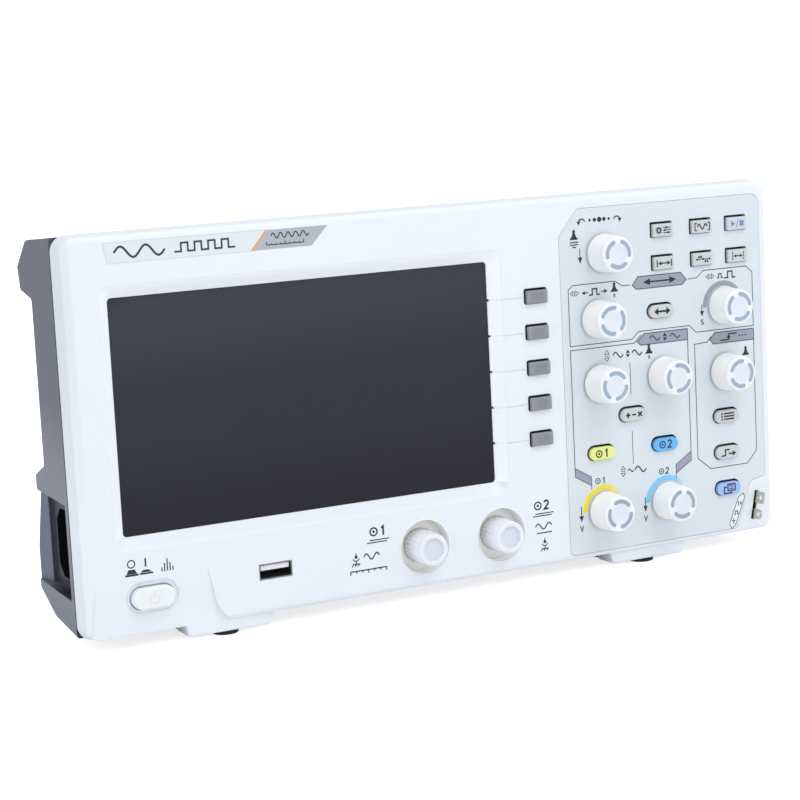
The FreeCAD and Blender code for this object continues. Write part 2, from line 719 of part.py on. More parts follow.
def tilt_leg(foot):
    """Folded leg: plate with a raised frame, and a hinge pin across a notch."""
    left, right = foot[2] + LEG_SIDE + 0.25, foot[3] - LEG_SIDE - 0.25
    middle = (left + right) / 2
    plate = prism_z(rectangle(left, right, LEG_Y, LEG_END), [0, 0, 4.0, 4.0], -3.4, -0.2)
    rib = prism_z(rectangle(left + 3, right - 3, 18, 30), 2, -0.3, 0.7)
    rib = rib.cut(prism_z(rectangle(left + 5, right - 5, 20, 28), 1, -0.6, 1.4))
    leg = fuse(plate, rib, cyl_x(left, right, LEG_Y, LEG_Z, 2.3))
    leg = leg.cut(box(middle - 6.1, middle + 6.1, LEG_Y - 4, LEG_Y + 3.2, -6, 4))
    return fuse(leg, cyl_x(left + 1, right - 1, LEG_Y, LEG_Z, 1.5))


def foot_pads():
    pads = []
    for x in PAD_X:
        for y in PAD_Y:
            pad = Part.makeCylinder(PAD_R, FOOT_H - 3.24, Vector(x, y, -FOOT_H))
            pads.append(fillet(pad, 0.5, lambda edge: edge.BoundBox.ZMax < -FOOT_H + 1e-3))
    return group(*pads)


# ----------------------------------------------------- sockets on the front
CAP_FRONT = FACE - 7.1
FLUTE_COUNT = 24
BNC_TIP = FACE - 4.3


def dust_cap(x):
    """Round cap with an eight-sided recess in front and a fluted skirt."""
    cap = cone(x, BNC_Z, 6.15, 6.35, CAP_FRONT, BNC_FLOOR - 0.25)
    cap = fillet(cap, 0.7, at_y(CAP_FRONT), (0.4,))
    octagon = []
    for i in range(8):
        angle = math.radians(22.5 + 45 * i)
        octagon.append((x + 4.5 * math.cos(angle), BNC_Z + 4.5 * math.sin(angle)))
    tools = [cyl(x, BNC_Z, 5.65, FACE - 5.2, BNC_FLOOR),
             prism(octagon, 0.8, FACE - 8.0, FACE - 6.4)]
    flute_front = FACE - 4.7
    for i in range(FLUTE_COUNT):
        angle = math.radians(360 / FLUTE_COUNT * i)
        tools.append(cyl(x + 6.6 * math.cos(angle), BNC_Z + 6.6 * math.sin(angle), 0.5,
                         flute_front, flute_front + 11.0))
    return cut(cap, *tools)


def bnc_socket(x):
    """Metal shell with two lugs and a square body, insulator, hollow pin."""
    barrel = cut(cyl(x, BNC_Z, 4.85, BNC_TIP, 0.0), cyl(x, BNC_Z, 4.05, BNC_TIP - 1, -2.0))
    lugs = cyl_x(x - 5.5, x + 5.5, BNC_TIP + 3.2, BNC_Z, 1.0)
    lugs = lugs.cut(cyl(x, BNC_Z, 4.5, BNC_TIP, 0.0))
    shell = fuse(barrel, lugs, cyl(x, BNC_Z, 6.4, BNC_FLOOR + 0.6, 0.0),
                 box(x - 7, x + 7, -0.4, MAIN_Y - POST_GAP, BNC_Z - 7, BNC_Z + 7))
    insulator = cut(cyl(x, BNC_Z, 3.95, BNC_TIP + 4.0, -2.05),
                    cyl(x, BNC_Z, 1.0, BNC_TIP + 3, -1.0))
    pin = cut(cyl(x, BNC_Z, 0.95, BNC_TIP + 1.8, -2.05),
              cyl(x, BNC_Z, 0.5, BNC_TIP + 1, BNC_TIP + 5))
    return group(shell, insulator, pin)


def usb_socket():
    left, right, bottom, top = 68.15, 81.25, 13.44, 19.16
    metal = 0.3
    shell = box(left, right, FACE + 0.35, MAIN_Y - POST_GAP, bottom, top)
    shell = cut(shell, box(left + metal, right - metal, FACE - 1, 4.0,
                           bottom + metal, top - metal))
    tongue = box(69.0, 80.4, FACE + 1.0, 4.3, 16.7, 18.5)
    return group(shell, tongue.cut(shell))


def cal_terminals():
    """Two upright blades in the slot, each with a hole; the lower one ends in a disc."""
    hole_y = FACE - 3.4
    angle = math.radians(SLOT_TILT)
    across = Vector(math.cos(angle), 0, -math.sin(angle))
    blades = []
    for along, length in ((3.3, 4.8), (-3.6, 4.0)):
        blade = slot_box(0.7, length, FACE - 5.4, KEYPAD_Y - PART_GAP, along)
        x = SLOT_X + along * math.sin(angle)
        z = SLOT_Z + along * math.cos(angle)
        start = Vector(x, hole_y, z) - across * 2.0
        if along < 0:
            blade = blade.cut(box(x - 5, x + 5, FACE - 8.0, hole_y, z - 4, z + 4))
            disc = Part.makeCylinder(2.0, 0.7, start + across * 1.65, across)
            blade = blade.fuse(disc).removeSplitter()
        blades.append(blade.cut(Part.makeCylinder(1.15, 4.0, start, across)))
    return group(*blades)


# ------------------------------------------------------ display and boards
LCD = (12.1, 177.1, 28.65, 128.65)       # module: left, right, bottom, top
LCD_FRONT, LCD_BACK = -2.2, 3.8

# boxes on the main board: left, right, bottom, top, height off the board
CHIPS = ((150, 172, 78, 100, 1.6), (182, 194, 84, 104, 1.2),
         (110, 124, 84, 98, 1.4), (212, 224, 30, 42, 1.4))
CONNECTORS = ((96, 101, 50, 74, 8.0), (240, 246, 40, 70, 7.0))


def lcd_module():
    frame = slab(*LCD, 1.5, LCD_FRONT, LCD_BACK)
    left, right, bottom, top = around_screen(1.6)
    frame = cut(frame, box(left, right, LCD_FRONT - 1, LCD_FRONT + 1.3, bottom, top))
    left, right, bottom, top = around_screen(1.5)
    return group(frame, box(left, right, LCD_FRONT + 0.1, LCD_FRONT + 1.28, bottom, top))


def drilled(board, screws, front):
    return cut(board, *[cyl(x, z, 1.6, front - 1, front + 3) for x, z in screws])


def mounted(left, right, bottom, top, height):
    """Box on the back of the main or power board."""
    return box(left, right, BOARD_BACK, BOARD_BACK + height, bottom, top)


def mounted_can(x, z, radius, height):
    return cyl(x, z, radius, BOARD_BACK, BOARD_BACK + height)


def keypad_board():
    back = KEYPAD_Y + PCB_T
    board = fuse(box(182.0, 289.5, KEYPAD_Y, back, 4.5, 138.0),
                 box(289.0, 294.0, KEYPAD_Y, back, 4.5, 19.0))
    return drilled(board, KEYPAD_SCREWS, KEYPAD_Y)


def main_board():
    board = drilled(box(92.0, 262.0, MAIN_Y, MAIN_Y + PCB_T, 7.5, 138.5),
                    MAIN_SCREWS, MAIN_Y)
    shield = slab(118.0, 190.0, 34.0, 66.0, 1.0, BOARD_BACK, BOARD_BACK + 7.0)
    fins = []
    for i in range(8):
        left = 206.6 + i * 4.1
        fins.append(box(left, left + 1.6, BOARD_BACK + 2.9, BOARD_BACK + 12.0, 76.0, 106.0))
    heat_sink = fuse(mounted(206.0, 236.0, 76.0, 106.0, 3.0), *fins)
    capacitors = [mounted_can(108 + 9 * i, 118, 3.6, 11.0) for i in range(4)]
    return group(board, shield, heat_sink, *[mounted(*chip) for chip in CHIPS],
                 *capacitors, *[mounted(*connector) for connector in CONNECTORS])


def power_board():
    board = drilled(box(12.5, 86.0, MAIN_Y, MAIN_Y + PCB_T, 6.5, 139.0),
                    POWER_SCREWS, MAIN_Y)
    core = mounted(40, 66, 62, 86, 16.5)
    coil = box(43, 63, BOARD_BACK + 2.0, BOARD_BACK + 14.0, 56, 61.9)
    heat_sink = fuse(mounted(70, 82, 60, 110, 2.5), mounted(70, 72.5, 60, 110, 15))
    bulk_capacitor = mounted_can(27.0, 68.0, 8.5, 17.0)
    choke = mounted(20, 38, 92, 110, 13)
    fuse_holder = mounted(34, 60, 30, 38, 8.0)
    switch = fuse(box(19.5, 33.5, POWER_SWITCH_Y, MAIN_Y - PART_GAP, 8.0, 19.6),
                  box(25.0, 28.0, POWER_PLUNGER_Y, POWER_SWITCH_Y + 0.5, 12.4, 15.2))
    output_capacitors = [mounted_can(46 + 11 * i, 112, 4.6, 14.0) for i in range(2)]
    return group(board, core, coil, heat_sink, bulk_capacitor, choke, fuse_holder,
                 switch, *output_capacitors)


# ---------------------------------------------------------- inlet, screws
INLET_X = 10.9           # face of the inlet, inside the pocket floor opening
INLET_GAP = 0.15
CAVITY_END = INLET_X + 14.5


def mains_inlet():
    """Inlet facing left: flanged body with a cavity, three pins, three tabs."""
    front, back, bottom, top = INLET
    y, z = (front + back) / 2, (bottom + top) / 2
    flange_x = INLET_X + 0.6
    nose = inlet_face(INLET_X, front + INLET_GAP, back - INLET_GAP,
                      bottom + INLET_GAP, top - INLET_GAP).extrude(Vector(2.0, 0, 0))
    body = fuse(nose,
                box(flange_x, INLET_X + 2.2, front - 1.6, back + 1.6,
                    bottom - 1.6, top + 1.6),
                box(flange_x, INLET_X + 17.0, y - 10.0, y + 10.0, z - 13.9, z + 13.9))
    cavity = inlet_face(INLET_X - 1, y - 8.4, y + 8.4, z - 11.7, z + 11.7, 4.6, 0.5)
    body = cut(body, cavity.extrude(Vector(15.5, 0, 0)))
    pins = [box(INLET_X + 2.0, CAVITY_END + 1.0, y - 4.0, y, z + offset - 1, z + offset + 1)
            for offset in (-7.0, 7.0)]
    pins.append(box(INLET_X + 0.7, CAVITY_END + 1.0, y + 2.0, y + 6.0, z - 1, z + 1))
    tabs = [box(INLET_X + 17.02, INLET_X + 23.0, y - 3.2, y + 3.2,
                z + offset - 0.4, z + offset + 0.4) for offset in (-7.0, 0.0, 7.0)]
    return group(cut(body, *pins), *pins, *tabs)


def screw(x, z, seat):
    """M3 x 8 pan head, head towards the rear."""
    head_end = seat + 1.8
    head = fillet(cyl(x, z, 2.75, seat, head_end), 0.6, at_y(head_end))
    body = fuse(head, cyl(x, z, 1.45, seat - 8.0, seat + 0.1))
    cross = []
    for angle in (0, 90):
        bar = box(-1.4, 1.4, seat + 0.9, seat + 2.5, -0.28, 0.28)
        bar.rotate(Vector(0, 0, 0), Vector(0, 1, 0), angle)
        bar.translate(Vector(x, 0, z))
        cross.append(bar)
    return cut(body, *cross)


def case_screws():
    seats = ((CASE_SCREWS, 8.0), (MAIN_SCREWS + POWER_SCREWS, MAIN_Y + PCB_T),
             (KEYPAD_SCREWS, KEYPAD_Y + PCB_T))
    return group(*[screw(x, z, seat) for places, seat in seats for x, z in places])


# ------------------------------------------------------------------ build
os.makedirs("parts", exist_ok=True)

save("front_panel", front_panel())
save("control_fascia", control_fascia())
save("rear_cover", rear_cover())
save("display_window", display_window())
save("lcd_module", lcd_module())
save("keypad_board", keypad_board())
save("encoder_bodies", group(*[encoder_body(x, z) for x, z, *_ in KNOBS.values()]))
save("key_switches", group(*[tact_switch(key) for key in KEYS.values()]))
save("main_board", main_board())
save("power_board", power_board())
save("bnc_sockets", group(*[bnc_socket(x) for x in BNC_X]))
save("usb_socket", usb_socket())
save("mains_inlet", mains_inlet())
save("cal_terminals", cal_terminals())
save("foot_pads", foot_pads())
save("case_screws", case_screws())

for name, key in KEYS.items():
    save(name, key_shape(key, KEY_FRONT, KEY_BACK, stem_width=5.0))
save("power_button", key_shape(POWER, POWER_FRONT, POWER_BACK, stem_width=4.0,
                               crown=0.8, gap=0.5))

for name, (x, z, push, angle) in KNOBS.items():
    save(name + "_knob", knob(x, z, angle))
    save(name + "_shaft", shaft(x, z, push))
    if push:
        save(name + "_rotor", rotor(x, z))

for side, foot in zip(("left", "right"), FEET):
    save("tilt_leg_" + side, tilt_leg(foot))
for i, x in enumerate(BNC_X):
    save("channel_%d_dust_cap" % (i + 1), dust_cap(x))
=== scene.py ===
"""Looks for a bench oscilloscope, built around its CAD pieces.

The front faces -Y, X runs to the right of the front panel and Z up. The CAD
nodes keep their shape and get procedural materials. Printed or colour-filled
details (frame lines, pictograms, coloured arcs, ring inserts) are thin closed
pieces that ride on their body.
"""

import json
import math
from functools import reduce

import bmesh
import bpy
from mathutils import Matrix, Vector

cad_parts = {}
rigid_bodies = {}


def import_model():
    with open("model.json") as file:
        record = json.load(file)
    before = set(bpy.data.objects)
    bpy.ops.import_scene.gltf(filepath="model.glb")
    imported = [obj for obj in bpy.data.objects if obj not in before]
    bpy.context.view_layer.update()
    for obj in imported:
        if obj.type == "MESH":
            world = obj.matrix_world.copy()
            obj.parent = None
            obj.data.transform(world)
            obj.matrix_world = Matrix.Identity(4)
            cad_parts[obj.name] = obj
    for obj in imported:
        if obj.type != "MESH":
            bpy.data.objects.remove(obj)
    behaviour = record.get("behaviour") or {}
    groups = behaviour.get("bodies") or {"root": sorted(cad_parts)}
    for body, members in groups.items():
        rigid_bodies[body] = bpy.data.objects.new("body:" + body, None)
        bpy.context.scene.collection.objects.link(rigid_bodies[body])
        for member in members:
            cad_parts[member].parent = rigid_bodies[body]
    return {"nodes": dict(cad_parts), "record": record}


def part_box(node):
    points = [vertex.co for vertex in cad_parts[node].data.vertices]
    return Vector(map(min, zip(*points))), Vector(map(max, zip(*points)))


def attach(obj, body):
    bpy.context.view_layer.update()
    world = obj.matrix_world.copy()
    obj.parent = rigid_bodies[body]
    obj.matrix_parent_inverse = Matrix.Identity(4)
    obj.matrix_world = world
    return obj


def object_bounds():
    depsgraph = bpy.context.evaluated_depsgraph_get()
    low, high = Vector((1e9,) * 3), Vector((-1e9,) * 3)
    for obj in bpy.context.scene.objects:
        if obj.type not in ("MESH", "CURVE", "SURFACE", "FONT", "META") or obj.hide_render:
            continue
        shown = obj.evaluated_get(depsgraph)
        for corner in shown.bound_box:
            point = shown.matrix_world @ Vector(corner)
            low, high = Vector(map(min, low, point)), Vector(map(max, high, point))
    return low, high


for old in list(bpy.data.objects):
    bpy.data.objects.remove(old)

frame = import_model()
NODES = frame["nodes"]
CAD_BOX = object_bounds()

# --------------------------------------------------------------- references
MM = 0.001
PANEL_HEIGHT = 144.5 * MM
PANEL_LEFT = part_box("front_panel")[0].x
PANEL_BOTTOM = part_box("front_panel")[1].z - PANEL_HEIGHT
OVERLAY_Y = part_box("control_fascia")[0].y    # outer face of the control overlay
FACE_Y = OVERLAY_Y + 0.2 * MM                # outer face of the white panel
SEAM_Y = FACE_Y + 8.0 * MM                   # where the rear cover begins
CAPS = ("channel_1_dust_cap", "channel_2_dust_cap")
CAP_FRONT = min(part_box(cap)[0].y for cap in CAPS)

# Zones of the front: left, bottom, right, top in panel millimetres
DISPLAY_ZONE = (14.3, 36.3, 174.9, 125.2)
CONTROL_ZONE = (199.5, 1.5, 297.6, 141.0)
SOFT_KEY_ZONE = (183.6, 44.0, 198.0, 114.0)
TERMINAL_ZONE = (289.0, 4.5, 293.5, 18.0)
OVERLAY_ZONE = (203.0, 4.0, 296.0, 138.5)


def panel_x(x):
    """Panel millimetres from the left edge to metres in the frame."""
    return PANEL_LEFT + x * MM


def panel_z(z):
    """Panel millimetres from the lower edge to metres in the frame."""
    return PANEL_BOTTOM + z * MM


def behind_seam(y):
    return SEAM_Y + y * MM


def centre(node):
    low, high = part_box(node)
    return (low + high) / 2


def panel_centre(node):
    middle = centre(node)
    return (middle.x - PANEL_LEFT) / MM, (middle.z - PANEL_BOTTOM) / MM


def slot_of(node):
    return next(part["material_slot"] for part in frame["record"]["subparts"]
                if part["node"] == node)


# ------------------------------------------------------------ shader graphs
def srgb(code):
    """Hex colour code to linear RGB."""
    channels = (int(code[i:i + 2], 16) / 255.0 for i in (1, 3, 5))
    return tuple(c / 12.92 if c <= 0.04045 else ((c + 0.055) / 1.055) ** 2.4
                 for c in channels)


def scaled(color, factor):
    return tuple(min(1.0, c * factor) for c in color)


class Shader:
    """A material with one Principled surface and helpers that add nodes.

    The helpers take and return sockets; numbers and colours go in as they are."""

    def __init__(self, name):
        self.material = bpy.data.materials.new(name)
        self.material.use_nodes = True
        self.tree = self.material.node_tree
        self.tree.nodes.clear()
        self.output = self.make("OutputMaterial").inputs[0]
        self.place = self.make("TexCoord").outputs["Object"]
        self.surface = self.make("BsdfPrincipled")
        self.feed(self.output, self.surface.outputs[0])

    def feed(self, socket, value):
        """Link a socket, or store a number, vector, RGB or hex colour."""
        if isinstance(value, bpy.types.NodeSocket):
            self.tree.links.new(value, socket)
            return
        if isinstance(value, str):
            value = srgb(value)
        if isinstance(value, tuple) and len(value) < len(socket.default_value):
            value = (*value, 1.0)
        socket.default_value = value

    def make(self, kind, inputs=None, **settings):
        node = self.tree.nodes.new("ShaderNode" + kind)
        for key, setting in settings.items():
            setattr(node, key, setting)
        for key, value in (inputs or {}).items():
            self.feed(node.inputs[key], value)
        return node

    def finish(self, inputs):
        """Set inputs of the Principled surface and return the material."""
        for key, value in inputs.items():
            self.feed(self.surface.inputs[key], value)
        return self.material

    def split(self):
        return self.make("SeparateXYZ", {0: self.place}).outputs[:]

    def value(self, number):
        socket = self.make("Value").outputs[0]
        socket.default_value = number
        return socket

    def maths(self, operation, *terms):
        return self.make("Math", dict(enumerate(terms)), operation=operation).outputs[0]

    def add(self, first, second):
        return self.maths("ADD", first, second)

    def sub(self, first, second):
        return self.maths("SUBTRACT", first, second)

    def mul(self, *factors):
        return reduce(lambda a, b: self.maths("MULTIPLY", a, b), factors)

    def largest(self, masks):
        return reduce(lambda a, b: self.maths("MAXIMUM", a, b), masks)

    def noise(self, scale, detail=3.0, rough=0.5, place=None):
        return self.make("TexNoise", {
            "Scale": scale, "Detail": detail, "Roughness": rough,
            "Vector": place or self.place}).outputs["Fac"]

    def remap(self, source, start, end, low=0.0, high=1.0):
        return self.make("MapRange", {
            "Value": source, "From Min": start, "From Max": end,
            "To Min": low, "To Max": high}).outputs["Result"]

    def rise(self, axis, base, start, end, to=1.0):
        """Ramp from 0 to `to`; start and end are millimetres from base."""
        return self.remap(axis, base + start * MM, base + end * MM, 0.0, to)

    def fall(self, axis, base, start, end, to=0.0):
        """Ramp from 1 to `to`; start and end are millimetres from base."""
        return self.remap(axis, base + start * MM, base + end * MM, 1.0, to)

    def within(self, axis, start, end, soft=0.04):
        """1 between two places in metres, with a ramp of soft mm outside."""
        ramp = soft * MM
        return self.mul(self.remap(axis, start - ramp, start),
                        self.remap(axis, end, end + ramp, 1.0, 0.0))

    def zone(self, x, z, edges):
        """Masks across and up for a zone of the front."""
        left, bottom, right, top = edges
        return (self.within(x, panel_x(left), panel_x(right)),
                self.within(z, panel_z(bottom), panel_z(top)))

    def mix(self, factor, first, second):
        return self.make("Mix", {0: factor, 6: first, 7: second},
                         data_type="RGBA").outputs[2]

    def offsets(self, node, x, z):
        """Distances from a node's centre across and up."""
        middle = centre(node)
        return self.sub(x, middle.x), self.sub(z, middle.z)

    def square(self, across, up):
        return self.add(self.mul(across, across), self.mul(up, up))

    def radius(self, across, up):
        return self.maths("SQRT", self.square(across, up))

    def dot(self, first, second):
        return self.make("VectorMath", {0: first, 1: second},
                         operation="DOT_PRODUCT").outputs["Value"]

    def normal(self):
        return self.make("NewGeometry").outputs["Normal"]

    def bevel(self, radius):
        return self.make("Bevel", {"Radius": radius * MM}, samples=4).outputs[0]

    def bump(self, height, depth, normal=None):
        inputs = {"Distance": depth * MM, "Height": height}
        if normal is not None:
            inputs["Normal"] = normal
        return self.make("Bump", inputs).outputs[0]


# ----------------------------------------------------------- material kinds
def moulded(name, color, rough=0.42, grain=0.35, depth=0.012, vary=0.02,
            scatter=0.0, scatter_scale=0.6, edge=0.25, polish=0.10,
            specular=0.5, tint=None, glow=None):
    """Moulded plastic: a fine spark-eroded grain, a little flow variation in
    colour and gloss, softened and slightly polished edges.

    In mm: grain is the texture size, depth its height, edge the softened
    radius and scatter_scale the reach of light inside the plastic."""
    s = Shader(name)
    base = srgb(color)
    fine = s.noise(1000.0 / grain, detail=2.0, rough=0.55)
    flow = s.noise(22.0)
    tone = s.mix(s.remap(flow, 0.3, 0.7), scaled(base, 1.0 - vary), scaled(base, 1.0 + vary))
    grain_share = 0.35 * min(1.0, vary * 20)
    tone = s.mix(s.remap(fine, 0.3, 0.7, high=grain_share), tone, scaled(base, 0.93))
    if tint is not None:
        tone = tint(s, tone)
    inputs = {"Base Color": tone, "IOR": 1.49, "Specular IOR Level": specular}
    if glow is not None:
        # painted light: emission that lightens hollows and faces which the lamps leave dim
        inputs.update({"Emission Color": glow(s), "Emission Strength": 1.0})
    gloss = s.remap(flow, 0.25, 0.75, low=rough - 0.03, high=rough + 0.04)
    gloss = s.add(gloss, s.remap(fine, 0.2, 0.8, low=-0.02, high=0.03))
    soft_normal = s.bevel(edge)
    on_edge = s.remap(s.dot(soft_normal, s.normal()), 0.80, 0.995, low=1.0, high=0.0)
    inputs["Roughness"] = s.sub(gloss, s.mul(on_edge, polish))
    inputs["Normal"] = s.bump(fine, depth, soft_normal)
    if scatter > 0:
        inputs.update({"Subsurface Weight": scatter,
                       "Subsurface Scale": scatter_scale * MM,
                       "Subsurface Radius": (1.0, 0.95, 0.9)})
    return s.finish(inputs)


def metal(name, color, rough, stretch=(1, 1, 1), glow=None):
    """Bare metal with a fine grain, drawn out along an axis by stretch."""
    s = Shader(name)
    base = srgb(color)
    mapping = s.make("Mapping", {"Scale": stretch, "Vector": s.place})
    grain = s.noise(1800.0, rough=0.6, place=mapping.outputs["Vector"])
    stains = s.noise(140.0, rough=0.6)
    vary = 0.06
    tone = s.mix(s.remap(stains, 0.3, 0.7), scaled(base, 1 - vary), scaled(base, 1 + vary))
    inputs = {"Base Color": tone, "Metallic": 1.0}
    if glow is not None:
        inputs.update({"Emission Color": glow(s), "Emission Strength": 1.0})
    inputs["Roughness"] = s.add(
        s.remap(grain, 0.2, 0.8, low=rough - 0.06, high=rough + 0.08),
        s.remap(stains, 0.3, 0.7, low=-0.03, high=0.05))
    inputs["Normal"] = s.bump(grain, depth=0.006, normal=s.bevel(0.12))
    return s.finish(inputs)


def ink(name, color, rough=0.5, uneven=0.10, tint=None):
    """Screen print with slightly uneven cover and gloss."""
    s = Shader(name)
    base = srgb(color)
    cover = s.noise(900.0, rough=0.6)
    gloss = s.noise(60.0, detail=2.0)
    thin = tuple(min(1.0, c * (1.0 + uneven) + 0.03 * uneven) for c in base)
    tone = s.mix(s.remap(cover, 0.35, 0.75, high=0.5), base, thin)
    if tint is not None:
        tone = tint(s, tone)
    return s.finish({
        "Base Color": tone,
        "Roughness": s.remap(gloss, 0.3, 0.7, low=rough - 0.05, high=rough + 0.08),
        "Normal": s.bump(cover, depth=0.004)})


# ---------------------------------------------------------- masks and tints
BLACK = (0.0, 0.0, 0.0)
RECESS_WALL = dict(start=10.38, end=10.48)     # radius of an input recess, mm


def lit_wall(s):
    """1 on the walls of an opening that face up and to the left."""
    return s.remap(s.dot(s.normal(), (-0.75, 0.0, 0.66)), 0.30, 0.62)


def in_recess(s):
    """1 inside the round recesses of the two inputs."""
    x, y, z = s.split()
    inside = s.largest(s.fall(s.radius(*s.offsets(cap, x, z)), 0.0, **RECESS_WALL)
                       for cap in CAPS)
    deep = s.rise(y, FACE_Y, start=0.1, end=0.9)
    return s.mul(inside, deep)


def display_slope(s):
    """1 on the slopes round the display."""
    x, y, z = s.split()
    return s.mul(*s.zone(x, z, DISPLAY_ZONE),
                 s.rise(y, FACE_Y, start=0.1, end=0.5),
                 s.fall(y, FACE_Y, start=4.1, end=4.3))


def recess_rim_shade(s):
    """1 along the foot of the wall of an input recess, where painted shade goes,
    fading out towards the lower right, where the light reaches it."""
    x, y, z = s.split()

    def rim(cap):
        across, up = s.offsets(cap, x, z)
        radius = s.radius(across, up)
        lower_right = s.sub(s.mul(across, 0.5), s.mul(up, 0.87))
        return s.mul(s.rise(radius, 0.0, start=8.0, end=9.9),
                     s.fall(radius, 0.0, **RECESS_WALL),
                     s.fall(lower_right, 0.0, start=4.0, end=8.4))

    rims = s.largest(rim(cap) for cap in CAPS)
    return s.mul(rims, s.rise(y, FACE_Y, start=0.4, end=1.4))


# painted light: emission in the input recesses and on the slopes round the display
def case_painted_light(s):
    recess = s.mix(in_recess(s), BLACK, (0.038, 0.044, 0.060))
    return s.mix(display_slope(s), recess, (0.060, 0.056, 0.075))


def case_tint(s, tone):
    """Painted light and shade on the white case: the input recesses are a warmer,
    less blue white than the face (painted reflection and shade) with painted shade
    along the foot of their walls, the slopes round the display a whiter one (painted
    light); key gaps, the control openings and the terminal slot get painted shade inside."""
    x, y, z = s.split()
    # painted reflection and shade: a warmer, less blue white in the input recesses
    tone = s.mix(in_recess(s), tone, "#F0EFE9")
    # painted shade along the foot of the recess walls
    tone = s.mix(recess_rim_shade(s), tone, "#DBDAD3")
    # painted light: the slopes round the display are whiter
    tone = s.mix(display_slope(s), tone, (0.92, 0.95, 0.99))
    # the left border falls away from the light towards the top
    border = s.mul(s.fall(x, PANEL_LEFT, start=3.4, end=4.6),
                   s.rise(z, PANEL_BOTTOM, start=50.0, end=95.0))
    tone = s.mix(border, tone, "#E0E6EF")
    # painted highlight: what stands proud of the face is whiter
    proud = s.fall(y, FACE_Y, start=-0.12, end=-0.04)
    tone = s.mix(proud, tone, (0.98, 0.98, 0.98))
    # painted shade inside the control openings and key gaps, weaker on walls that face the
    # light, and inside the terminal slot
    below = s.rise(y, FACE_Y, start=0.64, end=0.75)
    openings = s.mul(below, *s.zone(x, z, CONTROL_ZONE))
    # the scored lines beside the soft keys are shallow and stay pale
    key_gaps = s.mul(s.rise(y, FACE_Y, start=0.25, end=0.45),
                     *s.zone(x, z, SOFT_KEY_ZONE))
    terminal = s.mul(s.rise(y, FACE_Y, start=0.3, end=0.6), *s.zone(x, z, TERMINAL_ZONE))
    near = s.fall(y, FACE_Y, start=1.4, end=2.6)
    unlit = s.sub(1.0, s.mul(lit_wall(s), near, s.value(0.85)))
    shade = s.mul(s.maths("MAXIMUM", openings, key_gaps), unlit)
    return s.mix(s.maths("MAXIMUM", shade, terminal), tone, "#24252A")


def fascia_tint(s, tone):
    """Painted shade on the sides of the openings in the overlay, except where light falls."""
    x, y, z = s.split()
    side = s.mul(s.rise(y, OVERLAY_Y, start=0.28, end=0.4), *s.zone(x, z, OVERLAY_ZONE))
    unlit = s.sub(1.0, s.mul(lit_wall(s), 0.85))
    return s.mix(s.mul(side, unlit), tone, "#202126")


def skirt_tint(s, tone):
    """The part of a key that stays inside its opening is in deep shade."""
    y = s.split()[1]
    return s.mix(s.rise(y, OVERLAY_Y, start=-0.05, end=0.75), tone, "#303136")


def soft_key_tint(s, tone):
    """Soft keys: a paler edge, a painted highlight of their rounded rim, round a darker
    middle.
    """
    x, _, z = s.split()

    def towards_edge(key):
        low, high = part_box(key)
        across, up = s.offsets(key, x, z)
        across = s.maths("DIVIDE", s.maths("ABSOLUTE", across), (high.x - low.x) / 2)
        up = s.maths("DIVIDE", s.maths("ABSOLUTE", up), (high.z - low.z) / 2)
        return s.maths("MAXIMUM", across, up)

    keys = [name for name in sorted(NODES) if name.startswith("soft_key")]
    if keys:
        edge = reduce(lambda a, b: s.maths("MINIMUM", a, b), map(towards_edge, keys))
        # painted highlight: paler towards the edge of each key
        tone = s.mix(s.remap(edge, 0.30, 0.92), "#868894", "#9DA1A8")
    return skirt_tint(s, tone)


def cover_tint(s, tone):
    """Painted shade in the groove along the seam, in the mains recess in the left side
    and on the bearings of the tilt legs."""
    x, y, z = s.split()
    # the left side lies in shade above and catches the table's light below
    side = s.fall(x, PANEL_LEFT, start=5.0, end=7.0)
    height = s.rise(z, PANEL_BOTTOM, start=56.0, end=84.0)
    side_tone = s.mix(height, "#7A7E8D", "#5A5E6F")
    tone = s.mix(s.mul(side, 0.92), tone, side_tone)
    # painted shade in the groove along the seam, paler at the upper left corner
    seam = s.fall(y, SEAM_Y, start=2.42, end=2.50)
    corner = s.mul(s.fall(x, PANEL_LEFT, start=1.5, end=8.0),
                   s.rise(z, PANEL_BOTTOM, start=137.0, end=140.5, to=0.85))
    tone = s.mix(s.mul(seam, s.sub(1.0, corner)), tone, "#33343D")
    # the mains recess
    outer, inner = panel_x(2.0), panel_x(8.04)
    bottom, top = panel_z(13.55), panel_z(48.25)
    recess_start = dict(start=6.15, end=6.3)
    recess = s.mul(s.within(x, outer, inner, soft=1.5), s.within(z, bottom, top),
                   s.rise(y, SEAM_Y, **recess_start))
    tone = s.mix(recess, tone, "#6C6F80")
    # painted shade on the floor of the recess round the inlet, and in the opening itself
    floor = s.mul(s.rise(x, PANEL_LEFT, start=7.9, end=7.98), s.within(z, bottom, top),
                  s.within(y, behind_seam(15.5), behind_seam(41.6)))
    tone = s.mix(floor, tone, "#2E2E3C")
    # painted shade on the step at the rear of the floor
    step = s.mul(s.within(x, panel_x(6.6), panel_x(8.0)), s.within(z, bottom, top),
                 s.within(y, behind_seam(41.7), behind_seam(42.3)))
    tone = s.mix(step, tone, "#4A4B60")
    # painted shade: near black on the walls of the opening
    well = s.mul(s.within(x, panel_x(8.03), panel_x(11.4), soft=0.02),
                 s.within(z, bottom, top),
                 s.within(y, behind_seam(15.5), behind_seam(38.5)))
    tone = s.mix(well, tone, "#06070A")
    # shadow along the lower edge of the recess
    shadow = s.mul(s.within(x, outer, inner, soft=1.5),
                   s.fall(z, bottom, start=0.1, end=0.3),
                   s.rise(z, bottom, start=-0.4, end=-0.2),
                   s.rise(y, SEAM_Y, **recess_start),
                   s.fall(y, SEAM_Y, start=24.0, end=42.0, to=0.25))
    tone = s.mix(shadow, tone, "#24252E")
    bearings = s.mul(s.fall(z, PANEL_BOTTOM, start=-0.5, end=-0.1),
                     s.fall(y, SEAM_Y, start=15.0, end=16.0))
    return s.mix(bearings, tone, "#2E2F36")


